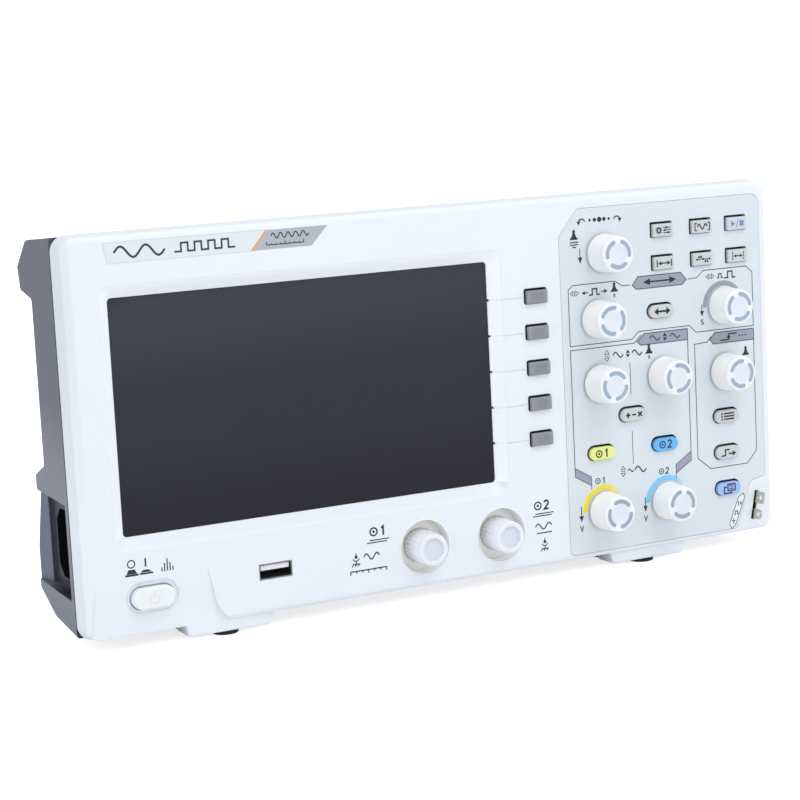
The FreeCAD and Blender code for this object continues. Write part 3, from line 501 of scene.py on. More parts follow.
def knob_tint(s, tone):
    """A side painted lighter and creamier against its shade, painted shade in the bluer middle
    of the tip and a shaded rear rim.
    """
    x, y, z = s.split()
    rear = s.rise(y, OVERLAY_Y, start=-1.15, end=-0.75, to=0.55)
    # painted light: the side is lighter and creamier than the tip
    side = s.rise(y, OVERLAY_Y, start=-9.9, end=-8.8)
    tone = s.mix(s.mul(side, 0.9), tone, (0.965, 0.97, 0.965))
    # painted shade: a darker, bluer middle of the tip
    inner, outer = (3.4 * MM) ** 2, (4.4 * MM) ** 2    # squared radii of the middle
    middle = s.largest(
        s.remap(s.square(*s.offsets(name, x, z)), inner, outer, low=1.0, high=0.0)
        for name in NODES if name.endswith("_knob"))
    tip = s.sub(1.0, side)
    tone = s.mix(s.mul(middle, tip, s.value(0.85)), tone, "#DFE5F0")
    return s.mix(rear, tone, "#8D9096")


def cap_tint(s, tone):
    """Dust caps: a skirt painted paler against its shade, a cool front rim and a blue-grey
    dish.
    """
    x, y, z = s.split()
    # painted light: the skirt is paler than the front
    skirt = s.rise(y, CAP_FRONT, start=0.9, end=2.2)
    tone = s.mix(skirt, tone, (0.975, 0.97, 0.975))
    depth = s.within(y, CAP_FRONT + 0.35 * MM, CAP_FRONT + 1.9 * MM, soft=0.3)
    middle = s.largest(s.fall(s.radius(*s.offsets(cap, x, z)), 0.0, start=4.70, end=4.85)
                       for cap in CAPS)
    return s.mix(s.mul(middle, depth), tone, "#DFE5F2")


def cap_painted_light(s):
    """Painted light: the front half of the skirt glows, standing in for light carried through
    the cap.
    """
    y = s.split()[1]
    lit = s.mul(s.fall(y, CAP_FRONT, start=4.2, end=8.8),
                s.rise(y, CAP_FRONT, start=0.75, end=1.2))
    return s.mix(lit, BLACK, (0.095, 0.100, 0.150))


def socket_painted_light(s):
    """Painted light: the foot of the socket glows, standing in for light leaking past the cap.
    """
    x, y, _ = s.split()
    foot = s.rise(y, FACE_Y, start=5.1, end=5.4)
    inputs_only = s.within(x, panel_x(120.0), panel_x(185.0))
    return s.mix(s.mul(foot, inputs_only), BLACK, (0.17, 0.17, 0.175))


def fading(knob):
    """Tint that thins an arc out towards its right-hand end."""
    low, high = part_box(knob)
    middle = (low.x + high.x) / 2

    def tint(s, tone):
        x = s.split()[0]
        return s.mix(s.rise(x, middle, start=2.5, end=8.5, to=0.82), tone, "#D9E1E8")
    return tint


# ------------------------------------------------------- one-off materials
def usb_material():
    """Steel shell, painted dark inside as shade, with the pale contact tongue."""
    s = Shader("usb_socket")
    x, y, z = s.split()
    low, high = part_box("usb_socket")
    stains = s.noise(300.0, rough=0.6)
    steel = s.mix(s.remap(stains, 0.3, 0.7), "#8F9094", "#A2A3A6")
    shell = 0.32 * MM
    behind_front = dict(start=0.1, end=0.2)
    inside = s.mul(s.within(x, low.x + shell, high.x - shell, soft=0.02),
                   s.within(z, low.z + shell, high.z - shell, soft=0.02),
                   s.rise(y, low.y, **behind_front))
    tongue = s.mul(s.within(x, low.x + 0.8 * MM, high.x - 0.8 * MM, soft=0.02),
                   s.within(z, high.z - 2.5 * MM, high.z - 0.62 * MM, soft=0.02),
                   s.rise(y, low.y, **behind_front))
    # painted shade: dark and not metallic inside the shell
    tone = s.mix(inside, steel, "#2E2E33")
    return s.finish({
        "Base Color": s.mix(tongue, tone, "#ECECEE"),
        "Metallic": s.sub(1.0, inside),
        "Roughness": s.remap(stains, 0.3, 0.7, low=0.30, high=0.38)})


def board_material():
    """Green circuit board with raised, paler tracks."""
    s = Shader("circuit_board")
    cells = s.make("TexVoronoi", {"Scale": 260.0, "Vector": s.place},
                   feature="DISTANCE_TO_EDGE", distance="MANHATTAN")
    track = s.remap(cells.outputs["Distance"], 0.04, 0.07, low=1.0, high=0.0)
    return s.finish({"Base Color": s.mix(track, "#145238", "#1E6C4A"),
                     "Roughness": 0.32, "Normal": s.bump(track, depth=0.03)})


def display_material():
    """Switched-off panel: near black, a little lighter and bluer upwards and darker on the
    left, a painted reflection and shade.
    """
    s = Shader("display")
    x, _, z = s.split()
    low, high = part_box("lcd_module")
    # painted reflection: lighter and bluer upwards
    tone = s.mix(s.remap(z, low.z, high.z), "#1D1C23", "#30313C")
    # painted shade: darker on the left
    left = s.remap(x, low.x, high.x, low=1.0, high=0.0)
    tone = s.mix(s.mul(left, 0.25), tone, "#15151B")
    return s.finish({"Base Color": tone, "Roughness": 0.6, "Specular IOR Level": 0.3})


def window_material():
    """Dark, bonded display glass, switched off: lighter and bluer towards
    the top and a little darker to the right, a painted reflection, with a soft
    anti-glare sheen."""
    s = Shader("window")
    x, _, z = s.split()
    low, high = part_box("display_window")
    # painted reflection: lighter and bluer towards the top
    ramp = s.make("ValToRGB", {"Fac": s.remap(z, low.z, high.z)})
    ramp.color_ramp.interpolation = "EASE"
    stops = ramp.color_ramp.elements
    stops[0].color = (0.0155, 0.0145, 0.0225, 1.0)
    stops[1].color = (0.046, 0.048, 0.070, 1.0)
    stops.new(0.45).color = (0.0255, 0.026, 0.0395, 1.0)
    # the painted reflection fades a little to the right
    right = s.remap(x, low.x, high.x)
    tone = s.mix(s.mul(right, 0.22), ramp.outputs["Color"], (0.016, 0.013, 0.021))
    # the upper left corner falls off into shade
    left = s.remap(x, low.x, low.x + 16 * MM, low=1.0, high=0.0)
    top = s.remap(z, high.z - 14 * MM, high.z)
    tone = s.mix(s.mul(left, top, 0.7), tone, (0.018, 0.017, 0.020))
    sheen = s.noise(12.0, detail=2.0)
    return s.finish({"Base Color": tone,
                     "Roughness": s.remap(sheen, 0.3, 0.7, low=0.27, high=0.31),
                     "Specular IOR Level": 0.22})


# ---------------------------------------------------------- material tables
def key_plastic(color, rough=0.36):
    return dict(color=color, rough=rough, grain=0.25, depth=0.006, vary=0.015,
                scatter=0.3, edge=0.2, tint=skirt_tint)


PLASTICS = {
    "white_case": dict(color="#E9EEF6", rough=0.40, grain=0.30, depth=0.010, vary=0.008,
                       edge=0.3, specular=0.45, tint=case_tint, glow=case_painted_light),
    "fascia": dict(color="#D9E1E8", rough=0.36, grain=0.18, depth=0.004, vary=0.004,
                   edge=0.15, tint=fascia_tint),
    "cover_case": dict(color="#6F7283", rough=0.46, grain=0.45, depth=0.02, edge=0.4,
                       polish=0.14, tint=cover_tint),
    "leg_plastic": dict(color="#6F7283", rough=0.46, grain=0.45, depth=0.03, vary=0.03,
                        edge=0.3),
    "knob_white": dict(color="#F1F3F4", rough=0.34, grain=0.22, depth=0.004, vary=0.006,
                       scatter=0.35, scatter_scale=1.0, edge=0.2, tint=knob_tint),
    "soft_key": dict(color="#8E9098", grain=0.25, depth=0.006, scatter=0.15, edge=0.3,
                     tint=soft_key_tint),
    "grey_key": key_plastic("#CDD1D3", rough=0.38),
    "run_key": key_plastic("#CBD7E1", rough=0.38),
    "yellow_key": key_plastic("#E8EE92"),
    "blue_key": key_plastic("#69B8F2"),
    "pale_blue_key": key_plastic("#A0BFF1"),
    "power_key": dict(color="#EEF1F3", rough=0.36, grain=0.25, depth=0.006, vary=0.006,
                      scatter=0.2, edge=0.3),
    "cap_plastic": dict(color="#E8EAF8", rough=0.40, depth=0.008, vary=0.01, scatter=0.8,
                        scatter_scale=2.2, specular=0.45, tint=cap_tint, glow=cap_painted_light),
    "pad_rubber": dict(color="#26262A", rough=0.75, grain=0.5, depth=0.03, vary=0.12,
                       edge=0.2, specular=0.3),
    "inlet_plastic": dict(color="#0B0B0E", rough=0.60, grain=0.3, depth=0.01, vary=0.06,
                          edge=0.2, polish=0.0, specular=0.06),
    "switch_body": dict(color="#2A2B2E", rough=0.35, grain=0.3, depth=0.004, vary=0.06,
                        edge=0.1),
    "rotor_plastic": dict(color="#303136", rough=0.35, grain=0.3, depth=0.004, vary=0.06,
                          edge=0.1),
}
METALS = {
    "socket_metal": dict(color="#C6C2B4", rough=0.24, glow=socket_painted_light),
    "shaft_metal": dict(color="#B9BABD", rough=0.26, stretch=(1, 12, 1)),
    "encoder_metal": dict(color="#A9AAAD", rough=0.34),
    "screw_steel": dict(color="#8E9096", rough=0.30),
}
INKS = {
    "black": dict(color="#1E2026"),
    "grey": dict(color="#4F535D"),
    "tab": dict(color="#999DAF", uneven=0.04),
    "tab_edge": dict(color="#4A4D5C"),
    "arc_grey": dict(color="#9CA1AD", uneven=0.03),
    "yellow": dict(color="#F2DF2C", uneven=0.03, tint=fading("channel_1_scale_knob")),
    "blue": dict(color="#7ECBFA", uneven=0.03, tint=fading("channel_2_scale_knob")),
    "orange": dict(color="#E8A04A"),
    "strip": dict(color="#DFE5EC", rough=0.42, uneven=0.006),
    "strip_dark": dict(color="#33363E"),
    "rim": dict(color="#CED4DB", rough=0.42, uneven=0.01),
    "slant": dict(color="#AEB4BF", rough=0.42, uneven=0.01),
    "ring": dict(color="#9CB0C9", rough=0.45, uneven=0.02),
    "ring_low": dict(color="#99ABC2", rough=0.45, uneven=0.02),
    "key_blue": dict(color="#6F8FBC"),
    "navy": dict(color="#1B2550"),
    "pale": dict(color="#EEF2F6", rough=0.45, uneven=0.006),
}

LOOKS = {name: moulded(name, **look) for name, look in PLASTICS.items()}
LOOKS.update({name: metal(name, **look) for name, look in METALS.items()})
LOOKS["circuit_board"] = board_material()
LOOKS["display"] = display_material()
LOOKS["window"] = window_material()
USB_LOOK = usb_material()

for name, node in NODES.items():
    if slot_of(name) in LOOKS:
        for material_slot in node.material_slots:
            material_slot.material = USB_LOOK if name == "usb_socket" else LOOKS[slot_of(name)]

INK = {name: ink("ink_" + name, **look) for name, look in INKS.items()}


# --------------------------------------------------------------- print tools
def oval(x, z, radius_x, radius_z, angles):
    """Points on an ellipse at the given angles in degrees."""
    return [(x + radius_x * math.cos(math.radians(angle)),
             z + radius_z * math.sin(math.radians(angle))) for angle in angles]


class Print:
    """Flat print built from thin closed prisms in the front plane.

    Points are (x, z) in panel millimetres from the origin. The print stands
    lift mm proud of the surface and reaches sink mm into it. Used in a with
    block, it becomes an object at the end of the block."""

    def __init__(self, name, look, surface, body="chassis", slot="fascia",
                 lift=0.035, sink=0.03, origin=(0.0, 0.0)):
        self.name, self.body, self.look, self.slot = name, body, look, slot
        self.front = surface - lift * MM
        self.back = surface + sink * MM
        self.origin = origin
        self.bm = bmesh.new()

    def __enter__(self):
        return self

    def __exit__(self, *_):
        mesh = bpy.data.meshes.new(self.name)
        bmesh.ops.recalc_face_normals(self.bm, faces=self.bm.faces)
        self.bm.to_mesh(mesh)
        self.bm.free()
        piece = bpy.data.objects.new(self.name, mesh)
        bpy.context.scene.collection.objects.link(piece)
        mesh.materials.append(self.look)
        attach(piece, self.body)

    def row(self, points, y):
        left, bottom = self.origin
        return [self.bm.verts.new((panel_x(left + x), y, panel_z(bottom + z)))
                for x, z in points]

    def poly(self, points):
        following = points[1:] + points[:1]
        area = sum(a[0] * b[1] - b[0] * a[1] for a, b in zip(points, following))
        if area < 0:
            points = points[::-1]
        front = self.row(points, self.front)
        back = self.row(points, self.back)
        self.bm.faces.new(front)
        self.bm.faces.new(back[::-1])
        for i in range(len(points)):
            j = (i + 1) % len(points)
            self.bm.faces.new((front[j], front[i], back[i], back[j]))

    def band(self, left, right, closed=False):
        """Closed solid between two point rows of the same length."""
        left_front, left_back, right_front, right_back = (
            self.row(points, y) for points in (left, right)
            for y in (self.front, self.back))
        count = len(left)
        new = self.bm.faces.new
        for i in range(count if closed else count - 1):
            j = (i + 1) % count
            new((left_front[i], right_front[i], right_front[j], left_front[j]))
            new((left_back[j], right_back[j], right_back[i], left_back[i]))
            new((left_front[j], left_back[j], left_back[i], left_front[i]))
            new((right_front[i], right_back[i], right_back[j], right_front[j]))
        if not closed:
            new((left_front[0], left_back[0], right_back[0], right_front[0]))
            new((right_front[-1], right_back[-1], left_back[-1], left_front[-1]))

    def stroke(self, points, width, closed=False):
        """Line of constant width with mitred corners."""
        count = len(points)
        left, right = [], []
        for i, (x, z) in enumerate(points):
            ways = []
            if closed or i > 0:
                before = points[i - 1]
                ways.append((x - before[0], z - before[1]))
            if closed or i < count - 1:
                after = points[(i + 1) % count]
                ways.append((after[0] - x, after[1] - z))
            ways = [(a / math.hypot(a, b), b / math.hypot(a, b)) for a, b in ways]
            side_x = sum(-way[1] for way in ways)
            side_z = sum(way[0] for way in ways)
            length = math.hypot(side_x, side_z)
            side_x, side_z = side_x / length, side_z / length
            mitre = max(0.35, side_x * -ways[0][1] + side_z * ways[0][0])
            half = width / 2 / mitre
            left.append((x + side_x * half, z + side_z * half))
            right.append((x - side_x * half, z - side_z * half))
        self.band(left, right, closed)

    def arc(self, x, z, radius, width, start, end, steps):
        """Part of a ring from start to end degrees."""
        full = abs(end - start) == 360
        angles = [start + (end - start) * i / steps
                  for i in range(steps if full else steps + 1)]
        outer, inner = radius + width / 2, radius - width / 2
        self.band(oval(x, z, outer, outer, angles), oval(x, z, inner, inner, angles), full)

    def disc(self, x, z, radius, sides=20):
        self.poly(oval(x, z, radius, radius, [360 * i / sides for i in range(sides)]))

    def arrow(self, tail, tip, width, head, half_head=0.95):
        """Straight arrow; head is the length of its triangle."""
        run, climb = tip[0] - tail[0], tip[1] - tail[1]
        length = math.hypot(run, climb)
        run, climb = run / length, climb / length
        x, z = tip[0] - run * head, tip[1] - climb * head
        overlap = 0.05
        self.stroke([tail, (x + run * overlap, z + climb * overlap)], width)
        self.poly([tip, (x - climb * half_head, z + run * half_head),
                   (x + climb * half_head, z - run * half_head)])


# ------------------------------------------------------------- pictograms
# Stroke paths of numerals and letters, x and z in half heights from the centre
GLYPHS = {
    "0": oval(0, 0, 0.50, 0.90, range(0, 360, 18)),
    "1": [(-0.30, 0.55), (0.12, 0.92), (0.12, -1)],
    "2": oval(0, 0.46, 0.52, 0.52, range(165, -46, -15)) + [(-0.50, -0.88), (0.56, -0.88)],
    "V": [(-0.62, 1), (0, -0.85), (0.62, 1)],
    "s": (oval(0, 0.45, 0.48, 0.45, range(30, 271, 24))
          + oval(0, -0.45, 0.48, 0.45, range(90, -151, -24))[1:]),
}


def glyph(art, char, x, z, height, width):
    half = height / 2.0
    art.stroke([(x + dx * half, z + dz * half) for dx, dz in GLYPHS[char]],
               width, closed=char == "0")


def push_sign(art, x, z, height):
    """A finger pressing a knob: round head, a body that widens in a curve
    and a thick base."""
    unit = height / 3.5
    art.disc(x, z + 1.30 * unit, 0.58 * unit, 16)
    left, right = [], []
    for i in range(7):
        share = i / 6.0
        level = z + (1.0 - 2.0 * share) * unit
        half = (0.42 + 0.80 * share ** 1.5) * unit
        left.append((x - half, level))
        right.append((x + half, level))
    art.poly(left + right[::-1])
    art.stroke([(x - 1.55 * unit, z - 1.3 * unit), (x + 1.55 * unit, z - 1.3 * unit)],
               0.62 * unit)


def side_arrows(art, x, z, length, vertical=False):
    """Two outline triangles either side of a short bar."""
    half = length * 0.24
    line = 0.24

    def turned(along, across):
        return (x + across, z + along) if vertical else (x + along, z + across)

    for side in (-1, 1):
        base = side * length * 0.17
        art.stroke([turned(base, half), turned(side * length * 0.5, 0),
                    turned(base, -half)], line, closed=True)
    art.stroke([turned(0, half * 1.1), turned(0, -half * 1.1)], line)


def wave(art, start, end, z, height, cycles, width, steps=12):
    """Sine wave; height is its amplitude and steps are per cycle."""
    count = int(steps * cycles)
    art.stroke([(start + (end - start) * i / count,
                 z + height * math.sin(2 * math.pi * cycles * i / count))
                for i in range(count + 1)], width)


def pulse(art, start, end, low, high, width):
    rise = start + 0.3 * (end - start)
    drop = start + 0.7 * (end - start)
    art.stroke([(start, low), (rise, low), (rise, high), (drop, high), (drop, low),
                (end, low)], width)


def input_mark(art, x, z, height, char, width):
    """Round socket sign and the channel's number."""
    art.arc(x - 0.62 * height, z, 0.42 * height, width * 0.8, 0, 360, 28)
    art.disc(x - 0.62 * height, z, 0.15 * height, 16)
    glyph(art, char, x + 0.48 * height, z, height, width)


def up_down(art, x, z, half, gap, reach):
    """Solid triangles pointing up and down from a gap."""
    for side in (1, -1):
        art.poly([(x - half, z + side * gap), (x + half, z + side * gap),
                  (x, z + side * reach)])


# ---------------------------------------------------------- overlay print
LEGEND_PILL = [(285.35, 16.9), (282.9, 15.6), (278.1, 5.1), (279.2, 2.9),
               (281.2, 4.6), (285.9, 15.2)]

# Frame lines: width, then the x, z points of the path
FRAME_LINES = [
    # horizontal group
    (0.36, [(233.6, 107.2), (230, 107.2), (226.4, 109.3), (207, 109.3), (204.9, 107.7),
            (204.9, 85.6), (233.6, 85.6), (236.8, 88.4), (261.1, 88.4), (264.3, 85.4),
            (292.6, 85.4), (292.6, 107.4), (289.6, 109.9), (268.6, 109.9),
            (265.4, 107.2), (261.1, 107.2)]),
    # vertical group
    (0.36, [(238.0, 87.0), (234.6, 84.0), (204.9, 84.0), (204.9, 37.2)]),
    (0.36, [(260.1, 83.2), (260.1, 37.2)]),
    (0.3, [(212.3, 29.6), (212.3, 28.0)]),
    (0.3, [(252.6, 29.4), (252.6, 27.2)]),
    (0.3, [(232.2, 76.6), (232.2, 63.8)]),
    (0.3, [(232.2, 49.1), (232.2, 35.9)]),
    # trigger group
    (0.36, [(271.6, 83.0), (269.6, 80.9), (263.4, 80.6), (263.4, 34.1), (269.6, 29.1),
            (287.9, 29.1), (292.6, 34.1), (292.6, 80.1)]),
]

# Tabs: width of the edge line, then the x, z points of the outline
TABS = [
    # horizontal group
    (0.40, [(234.6, 106.9), (237.3, 110.1), (257.6, 110.1), (260.3, 107.0),
            (258.2, 105.2), (236.4, 105.2)]),
    # vertical group
    (0.40, [(236.0, 84.4), (239.4, 87.3), (260.1, 87.3), (260.1, 82.9), (237.6, 82.9)]),
    (0.32, [(204.9, 37.5), (212.3, 33.1), (212.3, 29.6), (204.9, 34.0)]),
    (0.32, [(260.1, 37.5), (260.1, 33.8), (252.6, 29.4), (252.6, 33.0)]),
    # trigger group
    (0.40, [(270.9, 81.7), (273.4, 84.3), (292.6, 84.3), (292.6, 79.8), (272.6, 79.8)]),
]


def multipurpose_signs(art):
    """Turn left, five steps, turn right; a push sign, a list and an arrow."""
    left, right, z = 210.4, 230.2, 134.0
    radius, lean = 1.45, math.radians(15)
    base = z - 0.75
    for side, x in ((1, left + 1.8), (-1, right - 1.8)):
        art.arc(x, base, radius, 0.52, 15, 165, 12)
        tip_x = x - side * radius * math.cos(lean)
        tip_z = base + radius * math.sin(lean)
        art.poly([(tip_x - 0.95, tip_z + 0.2), (tip_x + 0.95, tip_z + 0.2),
                  (tip_x, tip_z - 1.25)])
    for i, dot_radius in enumerate((0.55, 0.78, 1.02, 0.78, 0.55)):
        art.disc(left + 5.5 + i * 2.2, z, dot_radius)
    x = 208.4
    push_sign(art, x, 128.7, 3.9)
    for level in (125.9, 125.9 - 0.95):
        art.stroke([(x - 1.9, level), (x + 1.9, level)], 0.46)
    art.stroke([(x - 0.9, 124.0), (x + 0.9, 124.0)], 0.46)
    art.arrow((210.9, 123.4), (210.9, 117.4), width=0.36, head=2.5, half_head=1.0)


def horizontal_signs(art):
    # double arrow on the tab
    z = 107.65
    art.stroke([(242.6, z), (252.6, z)], 0.62)
    art.poly([(239.7, z), (243.0, 106.3), (243.0, 109.0)])
    art.poly([(255.5, z), (252.2, 109.0), (252.2, 106.3)])
    # position: a pulse between two arrows
    side_arrows(art, 207.7, 106.1, 4.0)
    art.arrow((213.9, 105.9), (211.0, 105.9), width=0.44, head=1.5, half_head=0.85)
    art.stroke([(214.4, 104.9), (215.9, 104.9), (215.9, 107.2), (218.0, 107.2),
                (218.0, 104.9), (219.5, 104.9)], 0.56)
    art.arrow((220.0, 105.9), (222.9, 105.9), width=0.44, head=1.5, half_head=0.85)
    push_sign(art, 226.1, 106.9, 3.7)
    glyph(art, "0", 226.1, 103.8, 1.2, 0.3)
    # scale: a small and a large pulse
    side_arrows(art, 271.9, 107.2, 4.0)
    pulse(art, 275.2, 278.3, 106.3, 107.9, 0.46)
    pulse(art, 278.9, 284.4, 106.0, 108.5, 0.56)
    art.arrow((267.5, 96.3), (267.5, 91.4), width=0.36, head=2.3)
    glyph(art, "s", 267.5, 89.2, 2.1, 0.42)


def vertical_signs(art):
    # waves and triangles on the tab
    up_down(art, 249.2, 85.1, half=1.05, gap=0.22, reach=1.65)
    wave(art, 242.0, 246.8, 85.1, 1.0, 1, 0.46)
    wave(art, 251.6, 256.4, 85.1, 1.0, 1, 0.46)
    # position
    z = 80.2
    side_arrows(art, 221.6, z, 4.4, vertical=True)
    wave(art, 224.4, 229.2, z, 1.1, 1, 0.54)
    up_down(art, 231.4, z, half=0.95, gap=0.2, reach=1.6)
    wave(art, 233.4, 238.0, z, 1.1, 1, 0.54)
    push_sign(art, 241.4, 80.9, 3.8)
    glyph(art, "0", 241.4, 77.8, 1.2, 0.3)
    # scale: a small and a large wave
    z = 33.4
    side_arrows(art, 227.3, z, 4.2, vertical=True)
    wave(art, 229.6, 232.2, z, 0.6, 1, 0.44)
    wave(art, 232.9, 238.2, z, 1.25, 1, 0.54)
    input_mark(art, 216.8, 31.1, 2.5, "1", 0.46)
    input_mark(art, 247.0, 31.1, 2.5, "2", 0.46)
    for x in (207.1, 237.3):
        art.arrow((x, 21.8), (x, 15.6), width=0.38, head=2.5, half_head=1.0)
        glyph(art, "V", x, 13.0, 2.3, 0.42)


def trigger_signs(art):
    """A rising edge with an arrow, three dashes and a push sign."""
    art.stroke([(276.0, 80.9), (280.2, 80.9), (280.2, 83.2), (284.2, 83.2)], 0.54)
    art.poly([(279.1, 81.6), (281.3, 81.6), (280.2, 82.9)])
    for i in range(3):
        art.stroke([(285.2 + i * 1.5, 82.0), (286.0 + i * 1.5, 82.0)], 0.50)
    push_sign(art, 288.4, 75.4, 3.7)


def probe_legend_signs(art):
    """Voltage, pulse and earth sign of the probe compensation."""
    glyph(art, "1", 282.75, 12.8, 1.7, 0.40)
    glyph(art, "V", 284.0, 12.9, 1.35, 0.36)
    pulse(art, 280.5, 282.9, 8.6, 9.9, 0.40)
    art.stroke([(280.1, 7.1), (280.1, 6.1)], 0.34)
    for half, z, width in ((0.9, 6.1, 0.38), (0.55, 5.5, 0.32), (0.25, 4.95, 0.30)):
        art.stroke([(280.1 - half, z), (280.1 + half, z)], width)


def overlay_prints():
    with Print("print_legend_ground", INK["pale"], OVERLAY_Y, lift=0.02) as art:
        art.poly(LEGEND_PILL)
    with Print("print_dark", INK["black"], OVERLAY_Y) as art:
        multipurpose_signs(art)
        horizontal_signs(art)
        vertical_signs(art)
        trigger_signs(art)
        probe_legend_signs(art)
    with Print("print_frame_lines", INK["grey"], OVERLAY_Y, lift=0.03) as art:
        for width, path in FRAME_LINES:
            art.stroke(path, width)
        art.stroke(LEGEND_PILL, 0.34, closed=True)
    with Print("print_tabs", INK["tab"], OVERLAY_Y, lift=0.03) as art:
        for _, outline in TABS:
            art.poly(outline)
    with Print("print_tab_edges", INK["tab_edge"], OVERLAY_Y, lift=0.032) as art:
        for width, outline in TABS:
            art.stroke(outline, width, closed=True)


overlay_prints()

# Coloured arcs round the scale knobs:
# name, knob, ink, start and end in degrees, outer radius and width in mm
SCALE_ARCS = [
    ("arc_horizontal_scale", "horizontal_scale_knob", "arc_grey", 40, 182, 9.9, 1.9),
    ("arc_channel_1", "channel_1_scale_knob", "yellow", 38, 180, 10.2, 2.0),
    ("arc_channel_2", "channel_2_scale_knob", "blue", 38, 180, 10.2, 2.0),
]
for name, knob, color, start, end, outer, width in SCALE_ARCS:
    with Print(name, INK[color], OVERLAY_Y, lift=0.03) as art:
        art.arc(*panel_centre(knob), outer - width / 2, width, start, end, 36)


# ------------------------------------------------------- white panel print
def power_positions(art):
    """Released and pressed positions of the power key."""
    art.arc(18.9, 26.9, 1.35, 0.42, 0, 360, 28)
    art.stroke([(24.3, 28.4), (24.3, 25.3)], 0.62)
    art.poly([(17.7, 24.9), (20.1, 24.9), (20.9, 23.3), (16.9, 23.3)])
    art.stroke([(16.4, 22.85), (21.4, 22.85)], 0.72)
    art.poly([(23.3, 24.2), (25.3, 24.2), (26.4, 23.3), (22.2, 23.3)])
    art.stroke([(21.9, 22.85), (27.0, 22.85)], 0.60)


def bar_scale(art):
    foot = 22.55
    for i, height in enumerate((1.5, 3.0, 4.6, 3.0, 1.5)):
        x = 30.4 + i * 1.05
        art.stroke([(x, foot), (x, foot + height)], 0.44)


def input_label(art, char, x, left, right):
    """Channel mark over two staggered lines."""
    input_mark(art, x + 0.2, 24.9, 3.5, char, 0.74)
    art.stroke([(left + 1.2, 21.7), (right, 21.7)], 0.42)
    art.stroke([(left, 20.8), (right - 0.8, 20.8)], 0.42)


def probe_sign(art):
    """A probe tip over the earth sign."""
    art.disc(0, 1.75, 0.66, 16)
    art.arc(0, 1.60, 1.40, 0.38, 200, 340, 10)
    art.stroke([(0, 3.3), (0, 2.1)], 0.40)
    art.stroke([(0, 0.3), (0, -1.0)], 0.40)
    art.stroke([(-1.6, -1.0), (1.6, -1.0)], 0.46)
    for x in (-1.35, -0.1, 1.15):
        art.stroke([(x + 0.1, -1.05), (x - 0.5, -1.9)], 0.36)


def panel_print():
    with Print("print_panel", INK["black"], FACE_Y, slot="white_case") as art:
        power_positions(art)
        bar_scale(art)
        input_label(art, "1", x=117.4, left=112.4, right=121.8)
        input_label(art, "2", x=189.3, left=184.9, right=194.4)
        # left probe sign, with a waveform beside it and a ruler below
        art.origin = (107.6, 14.6)
        probe_sign(art)
        wave(art, 3.2, 9.8, 1.2, 1.15, 1.5, 0.50)
        ruler = -3.7
        art.stroke([(-2.6, ruler), (12.6, ruler)], 0.46)
        for i in range(7):
            tick = 1.3 if i % 3 == 0 else 0.75
            x = -2.6 + i * 2.53
            art.stroke([(x, ruler), (x, ruler - tick)], 0.46)
        # right probe sign, with a waveform and a line above it
        art.origin = (189.9, 8.6)
        probe_sign(art)
        wave(art, -4.0, 3.4, 8.0, 1.15, 1.5, 0.50)
        art.stroke([(-3.4, 5.4), (3.4, 5.4)], 0.46)


panel_print()


def name_strip():
    """Strip above the display, with plain waveforms and a ruler on it."""
    with Print("name_strip", INK["strip"], FACE_Y, lift=0.02) as art:
        art.poly([(16.4, 141.0), (78.9, 141.0), (72.6, 133.7), (17.7, 133.7)])
    with Print("name_strip_rim", INK["rim"], FACE_Y, lift=0.024) as art:
        art.stroke([(78.9, 141.0), (16.4, 141.0), (17.7, 133.7), (72.6, 133.7)], 0.25)
    with Print("name_strip_slant", INK["slant"], FACE_Y, lift=0.03) as art:
        art.poly([(72.9, 133.8), (78.9, 140.8), (103.2, 140.8), (96.5, 133.8)])
    with Print("name_strip_edge", INK["orange"], FACE_Y, lift=0.035) as art:
        art.poly([(72.3, 133.8), (78.3, 140.8), (79.2, 140.8), (73.2, 133.8)])
    with Print("name_strip_wave", INK["strip_dark"], FACE_Y, lift=0.04) as art:
        wave(art, 20.5, 39.5, 137.4, 2.0, 2, 0.80, steps=18)
        low, high = 135.9, 138.9
        path = [(43.0, low)]
        for i in range(4):
            x = 45.6 + i * 5.2
            path += [(x, low), (x, high), (x + 2.6, high), (x + 2.6, low)]
        art.stroke(path + [(69.0 - 2.6, low)], 0.70)
    with Print("name_strip_scale", INK["black"], FACE_Y, lift=0.045) as art:
        wave(art, 80.6, 95.6, 138.6, 0.95, 5, 0.42)
        left, ruler = 78.6, 135.4
        art.stroke([(left, ruler), (93.4, ruler)], 0.36)
        for i in range(9):
            tick = 1.1 if i % 4 == 0 else 0.6
            x = left + i * 1.85
            art.stroke([(x, ruler), (x, ruler + tick)], 0.36)


name_strip()


# ------------------------------------------------------------- key legends
# Each is drawn round the centre of its key.
def utility_legend(art):
    """A gear wheel and three sliders."""
    x = -2.1
    art.arc(x, 0, 0.80, 0.52, 0, 360, 20)
    teeth = range(0, 360, 45)
    for foot, tip in zip(oval(x, 0, 0.98, 0.98, teeth), oval(x, 0, 1.50, 1.50, teeth)):
        art.stroke([foot, tip], 0.46)
    for i, slide in enumerate((1.1, 0.3, 1.9)):
        z = 1.0 - i * 1.0
        art.stroke([(0.0, z), (3.5, z)], 0.32)
        art.stroke([(0.4 + slide, z - 0.42), (0.4 + slide, z + 0.42)], 0.62)


def autoset_legend(art):
    """A wave between brackets."""
    for side in (-1, 1):
        art.stroke([(side * 2.6, 1.45), (side * 3.5, 1.45), (side * 3.5, -1.45),
                    (side * 2.6, -1.45)], 0.44)
    wave(art, -2.4, 2.4, 0, 1.0, 1.5, 0.54)


